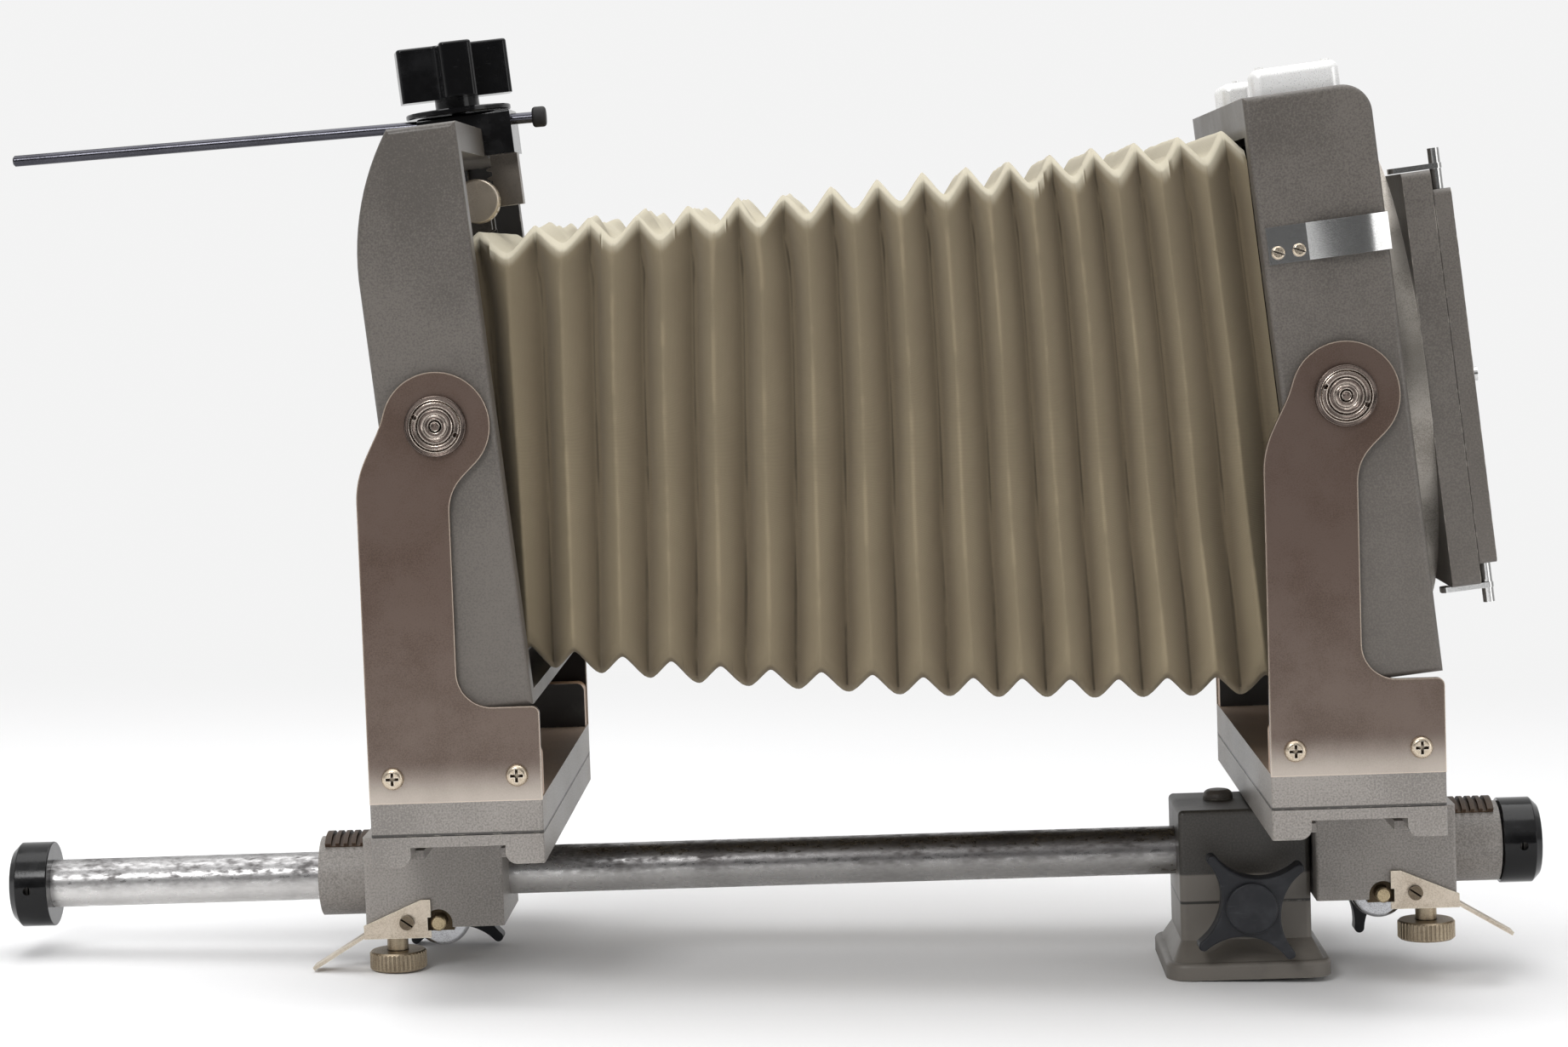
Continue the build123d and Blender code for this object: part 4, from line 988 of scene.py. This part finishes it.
@dataclass
class Yoke(StandardPart):
    """A shift plate and the yoke that turns on it."""

    gap_shadow_offset: float = 0.0003
    pale_above: float = 0.0147
    pale_below: float = 0.0003

    def plate_finish(self) -> Metal:
        """Brown satin nickel, paler at the plates' foot as a painted floor reflection, with painted
        highlights along the edges and black on the inner sides.

        Returns:
            The finish of the upright plates.
        """
        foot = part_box(self.name("yoke_plates"))[0][2]
        return Metal(
            self.name("satin_nickel"),
            srgb(105, 90, 82),
            srgb(78, 62, 53),
            0.34,
            scratch=0.6,
            mottle=0.65,
            metallic=0.9,
            # painted reflection of the floor at the plates' foot
            low=srgb(198, 188, 178),
            reflection_span=(foot + self.pale_above, foot - self.pale_below),
            fade=0.1,
            inner=srgb(34, 30, 28),
            # painted highlight along the plates' edges
            edge=srgb(232, 216, 198),
        )

    def disc_finish(self) -> Metal:
        """Turned steel, with its grooves round the tilt pivot and painted highlights along its edges.

        Returns:
            The finish of the pivots' heads.
        """
        pivot = self.model.joint_place(self.name("tilt"))
        return Metal(
            self.name("pivot_disc"),
            srgb(104, 93, 87),
            srgb(60, 51, 46),
            0.16,
            mottle=0.5,
            # painted highlight along the pivots' edges
            edge=srgb(226, 214, 202),
            axis=(pivot.x, pivot.z),
        )

    def base_finish(self) -> Paint:
        """The base's paint, brown on its floor, with a painted shadow line in the gap where it meets
        the slide.

        Returns:
            The finish of the yoke's base.
        """
        return Paint(
            self.name("yoke_paint"),
            BASE_PAINT.color,
            BASE_PAINT.bare,
            inside=srgb(184, 150, 120),
            inner=srgb(40, 37, 35),
            floor=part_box(self.name("swing_nut"))[0][2],
            # painted shadow line in the gap above the shift plate
            gap_shadow=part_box(self.name("yoke_base"))[0][2] + self.gap_shadow_offset,
        )

    def build(self) -> None:
        """Dresses the yoke."""
        self.dress(BASE_PAINT, "shift_plate")
        self.dress(self.base_finish(), "yoke_base")
        self.dress(ALUMINIUM, "swing_nut")
        self.dress(self.plate_finish(), "yoke_plates")
        self.dress(SCREW, "yoke_screws")
        self.dress(self.disc_finish(), "tilt_pivots")


@dataclass
class LensStandard:
    """The front frame with its lens panel, rising gear and support rod."""

    model: Model

    def build(self) -> None:
        """Dresses the front standard."""
        self.model.dress(FRAME_PAINT, "front_frame")
        self.model.dress(PANEL_PAINT, "lens_panel", "lens_board")
        self.model.dress(RACK, "rise_rack")
        self.model.dress(CREAM_NICKEL, "rise_pinion")
        self.model.dress(GLOSS_BLACK, "top_knob", "top_clamp_block")
        self.model.dress(ROD, "support_rod")
        self.model.dress(RUBBER, "rod_cap")


@dataclass
class BackStandard:
    """The rear frame with its revolving spring back and levels."""

    model: Model

    def build(self) -> None:
        """Dresses the rear standard."""
        self.model.dress(FRAME_PAINT, "rear_frame", "back_panel", "glass_frame")
        self.model.dress(RING, "revolving_ring")
        self.model.dress(STEEL, "spring_arms", "back_springs", "side_clip")
        self.model.dress(BRIGHT, "level_housings")
        self.model.dress(SCREW, "clip_screws")
        self.model.dress(GROUND_GLASS, "ground_glass")
        self.model.dress(VIAL, "level_vials")


# ---- bellows
@dataclass(frozen=True)
class Span:
    """A stretch of the bellows between two bodies."""

    first: str
    second: str
    pleats: float


def between(ends: tuple[float, float], share: float) -> float:
    """The value a share of the way from the first to the second."""
    return ends[0] + (ends[1] - ends[0]) * share


def smooth(share: float) -> float:
    """Eases a share from 0 to 1, level at both ends."""
    share = min(1.0, max(0.0, share))
    return share * share * (3 - 2 * share)


@dataclass
class Bellows:
    """The pleated cloth sleeve, as stretches that each span two bodies.

    The ends lie at front_x, front_z, rear_x and rear_z in the standards' own axes, and a pair is a
    size in front and behind. Lag and bulge let the middle pleats hang back, depth is how far the
    cloth folds in, and the swells and roundnesses shape the folds. The valleys of the sides curve
    back by valley_lag of a pleat. First_phase is where in a pleat the cloth starts, and lines are
    where each pleat has rings, as shares of the pleat.
    """

    model: Model
    front_x: float = 0.0100
    front_z: float = -0.0140
    rear_x: float = -0.0213
    rear_z: float = -0.0003
    half_width: tuple[float, float] = (0.0750, 0.0830)
    top: tuple[float, float] = (0.0776, 0.0939)
    bottom: tuple[float, float] = (0.0705, 0.1008)
    belly: float = 0.0064
    lag: float = math.radians(6.35)
    lag_power: float = 0.4935
    bulge: float = 0.0176
    depth: float = 0.0086
    bottom_depth: float = 0.00731
    top_roundness: tuple[float, float] = (0.05, 0.40)
    bottom_roundness: tuple[float, float] = (0.40, 0.12)
    side_swell: float = 0.45
    corner_swell: float = 0.5
    corner_reach: float = 0.020
    edge_swell: float = 0.9
    rear_swell: float = 0.25
    crowding: float = 0.75
    valley_lag: float = 0.13
    valley_rise: float = 0.11
    valley_fall: float = 0.030
    pleats: float = 16.75
    first_phase: float = -0.349
    thickness: float = 0.0008
    corner: float = 0.0018
    wave: float = 0.0006
    ripple: float = 0.0002
    crumple: float = 0.0026
    slip: float = 0.0007
    crumple_height: float = 0.05
    crumple_fade: float = 0.02
    crumple_span: tuple[float, float] = (0.04, 0.4)
    end_fade: float = 1 / 12
    slack: float = 1.8
    side_steps: int = 22
    ring_gap: float = 0.0008
    lines: tuple[float, ...] = (
        0.0, 0.03, 0.1, 0.2, 0.3, 0.4, 0.46, 0.5, 0.54, 0.6, 0.7, 0.8, 0.9, 0.97
    )
    spans: tuple[Span, ...] = (
        Span("lens_carrier", "front_standard", 0.55),
        Span("front_standard", "front_yoke", 2.05),
        Span("front_yoke", "front_shift", 1.5),
        Span("front_shift", "front_carriage", 1.0),
        Span("front_carriage", "rail", 6.9),
        Span("rail", "rear_carriage", 0.15),
        Span("rear_carriage", "rear_shift", 0.95),
        Span("rear_shift", "rear_yoke", 1.95),
        Span("rear_yoke", "rear_standard", 1.7),
    )

    def axes(self, along: float) -> TiltedAxes:
        """The axes of one ring of the sleeve; the middle pleats hang back a little.

        Args:
            along: The ring's place, from 0 in front to 1 behind.

        Returns:
            The ring's centre and lean.
        """
        front = self.model.front.point(self.front_x, 0, self.front_z)
        rear = self.model.rear.point(self.rear_x, 0, self.rear_z)
        shifted = along + self.bulge * math.sin(math.pi * along) ** 2
        lean = between((self.model.front.lean, self.model.rear.lean), along)
        lean -= self.lag * math.sin(math.pi * along**self.lag_power)
        return TiltedAxes(front.lerp(rear, shifted), lean)

    @staticmethod
    def gather(phase: float, ridge: float, valley: float) -> float:
        """How deep the cloth of the top or the bottom is folded in.

        Args:
            phase: The place in pleats; ridges stand at whole numbers.
            ridge: How round the ridge is, from 0 for a crease.
            valley: How round the valley is.

        Returns:
            0 on a ridge and 1 in a valley.
        """
        slope = abs(2 * (phase - round(phase)))
        rise = (math.hypot(slope, ridge) - ridge) / (math.hypot(1, ridge) - ridge)
        fall = (math.hypot(1 - slope, valley) - valley) / (math.hypot(1, valley) - valley)
        return rise * (1 - slope) + (1 - fall) * slope

    def side_fold(self, phase: float, shift: float, soft: float) -> float:
        """How deep the cloth of a side is folded in, between creased valleys.

        Args:
            phase: The place in pleats; valleys stand at whole numbers.
            shift: How far back the valleys stand from there.
            soft: How much the front half of each ridge swells, from 0 to 1.

        Returns:
            0 on a ridge and 1 in a valley.
        """
        place = (phase - shift) % 1.0
        crest = 0.5 - shift
        if place < crest:
            slope = place / crest
            return (1 - slope) * (1 - soft * slope)
        slope = (1 - place) / (1 - crest)
        return (1 - slope) * (1 - self.rear_swell * soft * slope)

    def ring(self, along: float, shrink: float) -> list[tuple[Vector, float]]:
        """Goes once round the sleeve.

        Args:
            along: The place, from 0 in front to 1 behind.
            shrink: How far inside the outer surface the ring lies.

        Returns:
            The points, each with how near it is to a ridge.
        """
        phase = self.first_phase + self.pleats * along
        wide = between(self.half_width, along) - shrink
        top_in = self.gather(phase, *self.top_roundness)
        low_in = self.gather(phase, *self.bottom_roundness)
        top = between(self.top, along) - self.depth * top_in - shrink
        belly = self.belly * 4 * along * (1 - along)
        low = belly + between(self.bottom, along) - self.bottom_depth * low_in - shrink
        edge = wide - self.depth * self.side_fold(phase, 0.0, self.edge_swell)
        axes = self.axes(along)
        points: list[tuple[Vector, float]] = []
        for turn in range(4):
            upright = turn % 2 == 0
            sign = 1 if turn < 2 else -1
            for step in range(self.side_steps):
                slide = (-1 + 2 * (step + 0.5) / self.side_steps) * sign
                slide = math.copysign(abs(slide) ** self.crowding, slide)
                if upright:
                    z = between((-low, top), (slide + 1) / 2)
                    inset = smooth((top - z) / self.valley_fall)
                    inset *= smooth((z + low) / self.valley_rise)
                    near = min(top - z, z + low) / self.corner_reach
                    soft = self.side_swell + self.corner_swell * max(0.0, 1 - near)
                    folded = self.side_fold(phase, self.valley_lag * inset, soft)
                    y = sign * (wide - self.depth * folded)
                else:
                    folded = top_in if sign > 0 else low_in
                    y, z = -slide * (edge - self.corner), (top if sign > 0 else -low)
                points.append((self.wrinkle(axes, along, y, z, upright), 1.0 - folded))
        return points

    def wrinkle(self, axes: TiltedAxes, along: float, y: float, z: float, upright: bool) -> Vector:
        """Places a point of a ring and moves it a little, as used cloth sits.

        Args:
            axes: The ring's axes.
            along: The ring's place.
            y: Across.
            z: Up, in the ring's axes.
            upright: True on the two sides, False on the top and the bottom.

        Returns:
            The point in the model's axes.
        """
        # The noise factors are waves per metre, and the added vectors keep the patterns apart.
        point = axes.point(0, y, z)
        wave = noise.noise(point * 30) * self.wave + noise.noise(point * 90) * self.ripple
        fade = min(1.0, along / self.end_fade, (1 - along) / self.end_fade)
        crumple = 0.0
        if z > self.crumple_height and self.crumple_span[0] < along < self.crumple_span[1]:
            crumple = noise.noise(point * 48 + Vector((3, 1, 7))) * self.crumple
            crumple *= min(1, (z - self.crumple_height) / self.crumple_fade)
        shift = (wave + crumple) * fade
        slip = (noise.noise(point * 17 + Vector((9, 4, 2))) * self.slip + crumple * 0.8) * fade
        sides = Vector((0, math.copysign(1, y), 0))
        outward = sides if upright else Vector((0, 0, math.copysign(1, z)))
        return point + outward * shift + axes.forward() * slip

    def places(self, start: float, end: float) -> list[float]:
        """Where a stretch has rings: at its ends and along every crease and curve.

        Args:
            start: Where the stretch starts.
            end: Where it ends.

        Returns:
            The places, from 0 in front to 1 behind.
        """
        found = [start]
        for pleat in range(-1, math.ceil(self.pleats) + 1):
            for line in self.lines:
                along = (pleat + line - self.first_phase) / self.pleats
                if start + self.ring_gap < along < end - self.ring_gap:
                    found.append(along)
        return found + [end]

    def sheet(self, places: list[float]) -> tuple[list[Vector], list[float]]:
        """Works out a stretch's points: all its rings outside, and then all inside.

        Args:
            places: Where the rings are.

        Returns:
            The points, and how near each is to a ridge.
        """
        points: list[Vector] = []
        folds: list[float] = []
        for shrink in (0.0, self.thickness):
            for along in places:
                for point, ridge in self.ring(along, shrink):
                    points.append(point)
                    folds.append(ridge)
        return points, folds

    @staticmethod
    def skin(around: int, steps: int) -> list[tuple[int, ...]]:
        """Joins a stretch's points into a closed sheet.

        Args:
            around: Points in a ring.
            steps: Rings in a layer, less one.

        Returns:
            The faces: outside, inside, and the rims at both ends.
        """
        layer = around * (steps + 1)
        last = steps * around
        faces: list[tuple[int, ...]] = []
        for step in range(steps):
            for index in range(around):
                near = step * around + index
                side = step * around + (index + 1) % around
                outside = (near, side, side + around, near + around)
                faces.append(outside)
                faces.append(tuple(layer + corner for corner in reversed(outside)))
        for index in range(around):
            side = (index + 1) % around
            faces.append((index, layer + index, layer + side, side))
            faces.append((last + side, layer + last + side, layer + last + index, last + index))
        return faces

    def stretch(self, number: int, span: Span, start: float, end: float) -> None:
        """Builds one stretch as a closed sheet.

        Args:
            number: The stretch's number, from the front.
            span: The bodies it joins.
            start: Where it starts.
            end: Where it ends.
        """
        places = self.places(start, end)
        points, folds = self.sheet(places)
        around = len(points) // (2 * len(places))
        faces = self.skin(around, len(places) - 1)
        piece = add_mesh(f"bellows_cloth_{number}", points, faces, CLOTH)
        self.mark(piece, folds, around, places)
        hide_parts("bellows")
        normal = self.axes((start + end) / 2).forward()
        centre = self.axes(start).pivot
        layer = around * len(places)
        reach = [(point - centre).dot(normal) for point in points]
        near = max(reach[:around] + reach[layer : layer + around])
        far = min(reach[layer - around : layer] + reach[-around:])
        ends = [tuple(centre + normal * place) for place in (near, far)]
        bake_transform(piece)
        log.info("%s: %s to %s, over %.1f mm", piece.name, span.first, span.second, 1000 * (far - near))

    def mark(
        self,
        piece: bpy.types.Object,
        folds: list[float],
        around: int,
        places: list[float],
    ) -> None:
        """Stores the folds and the cloth's own coordinates on a stretch.

        Args:
            piece: The stretch.
            folds: How near each point is to a ridge.
            around: Points in a ring.
            places: Where its rings are.
        """
        mesh = piece.data
        last = len(places) - 1
        for edge in mesh.edges:
            rings = [corner // around % len(places) for corner in edge.vertices]
            edge.use_edge_sharp = rings in ([0, 0], [last, last])
        attribute = mesh.attributes.new("fold", "FLOAT", "POINT")
        attribute.data.foreach_set("value", folds)
        sheet = mesh.uv_layers.new(name="cloth")
        length = (self.axes(1.0).pivot - self.axes(0.0).pivot).length * self.slack
        girth = 4 * (self.half_width[0] + self.top[0])
        for loop in mesh.loops:
            ring, step = divmod(loop.vertex_index % (around * len(places)), around)
            sheet.data[loop.index].uv = (places[ring] * length, girth * step / around)

    def build(self) -> None:
        """Builds every stretch from the front to the back."""
        total = sum(span.pleats for span in self.spans)
        start = 0.0
        for number, span in enumerate(self.spans, 1):
            end = start + span.pleats / total
            self.stretch(number, span, start, end)
            start = end


# ---- studio
@dataclass(frozen=True)
class Lamp:
    """A soft square light."""

    name: str
    place: Triple
    size: float
    power: float

    def build(self, target: Vector) -> None:
        """Makes the light.

        Args:
            target: What it points at.
        """
        light = bpy.data.lights.new(self.name, "AREA")
        light.shape = "SQUARE"
        light.size = self.size
        light.energy = self.power
        lamp = bpy.data.objects.new(self.name, light)
        lamp.location = self.place
        lamp.rotation_euler = (target - Vector(self.place)).to_track_quat("-Z", "Y").to_euler()
        bpy.context.scene.collection.objects.link(lamp)
        log.info("%s: %.1f W", self.name, self.power)


@dataclass
class Studio:
    """A pale floor under the slightly tipped camera, soft lights and the view.

    The floor slopes by tip about pivot_x, and along Y it runs from -reach to reach, where it curves
    up into a wall. Eye, heading, pitch and roll place the view.
    """

    pivot_x: float = -0.0297
    tip: float = math.radians(2.27)
    reach: float = 3.0
    half_width: float = 4.8
    curve: float = 1.0
    curve_steps: int = 12
    wall_top: float = 4.0
    target: Triple = (-0.13, 0.0, 0.16)
    eye: Triple = (-0.1249, -1.2737, 0.2628)
    heading: float = math.radians(1.675)
    pitch: float = math.radians(-4.324)
    roll: float = math.radians(-2.02)
    lens: float = 80.44
    sensor: float = 36.0
    lamps: tuple[Lamp, ...] = (
        Lamp("key_light", (-0.65, -1.45, 1.1), 0.5, 9.0),
        Lamp("top_light", (-0.1, 0.1, 1.5), 1.5, 16.0),
        Lamp("fill_light", (1.3, -1.1, 0.3), 0.8, 3.5),
    )

    def build(self) -> None:
        """Builds floor, backdrop, world, lights and camera."""
        self.build_floor()
        self.build_world()
        for lamp in self.lamps:
            lamp.build(Vector(self.target))
        self.build_camera()
        bpy.context.scene.view_settings.view_transform = "Standard"

    def floor_height(self, x: float) -> float:
        """The floor's height at a place along X."""
        return (self.pivot_x - x) * math.tan(self.tip)

    def build_floor(self) -> None:
        """Makes a wide floor that curves up behind."""
        bend = self.reach - self.curve
        profile = [(-self.reach, 0.0), (bend, 0.0)]
        for step in range(1, self.curve_steps + 1):
            angle = math.pi / 2 * step / self.curve_steps
            profile.append((bend + self.curve * math.sin(angle), self.curve * (1 - math.cos(angle))))
        profile.append((self.reach, self.wall_top))
        points, faces = [], []
        for y, z in profile:
            for x in (-self.half_width, self.half_width):
                points.append(Vector((x, y, z + self.floor_height(x))))
        for row in range(len(profile) - 1):
            first = 2 * row
            faces.append((first, first + 1, first + 3, first + 2))
        floor = add_mesh("studio_floor", points, faces, FLOOR)
        floor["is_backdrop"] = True
        log.info("%s: %s", floor.name, FLOOR.name)

    def build_world(self) -> None:
        """Lights the room evenly, darker near the horizon and on the viewer's side."""
        world = bpy.data.worlds.new("studio")
        world.use_nodes = True
        bpy.context.scene.world = world
        graph = Graph(world.node_tree)
        ray = graph.node("ShaderNodeTexCoord", output="Generated")
        rise = graph.part(ray, "Z")
        tone = graph.ramp(rise, (0.0, 0.42), (0.25, 0.55), (0.8, 0.85))
        unlit = graph.level(graph.part(ray, "Y"), -0.35, -0.85) * graph.level(rise, 0.55, 0.2)
        tone = graph.mix(unlit, tone, (0.13, 0.13, 0.13))
        light = graph.node("ShaderNodeBackground", inputs={"Color": tone, "Strength": 1.0})
        graph.node("ShaderNodeOutputWorld", inputs={"Surface": light})

    def build_camera(self) -> None:
        """Places the camera by its heading, pitch and roll."""
        lens = bpy.data.cameras.new("view")
        lens.lens = self.lens
        lens.sensor_width = self.sensor
        lens.clip_start = 0.01
        camera = bpy.data.objects.new("view", lens)
        turn = Matrix.Rotation(self.heading, 4, "Z")
        turn @= Matrix.Rotation(math.pi / 2 + self.pitch, 4, "X")
        turn @= Matrix.Rotation(self.roll, 4, "Z")
        camera.matrix_world = Matrix.Translation(self.eye) @ turn
        bpy.context.scene.collection.objects.link(camera)
        bpy.context.scene.camera = camera
        log.info("camera: %.1f mm lens", self.lens)


def main() -> None:
    """Builds the scene."""
    logging.basicConfig(level=logging.INFO, format="%(message)s")
    model = Model()
    TripodBlock(model).build()
    Rail(model).build()
    for end in End:
        Carriage(model, end).build()
        Yoke(model, end).build()
    LensStandard(model).build()
    BackStandard(model).build()
    Bellows(model).build()
    Studio().build()


if __name__ == "__main__":
    main()
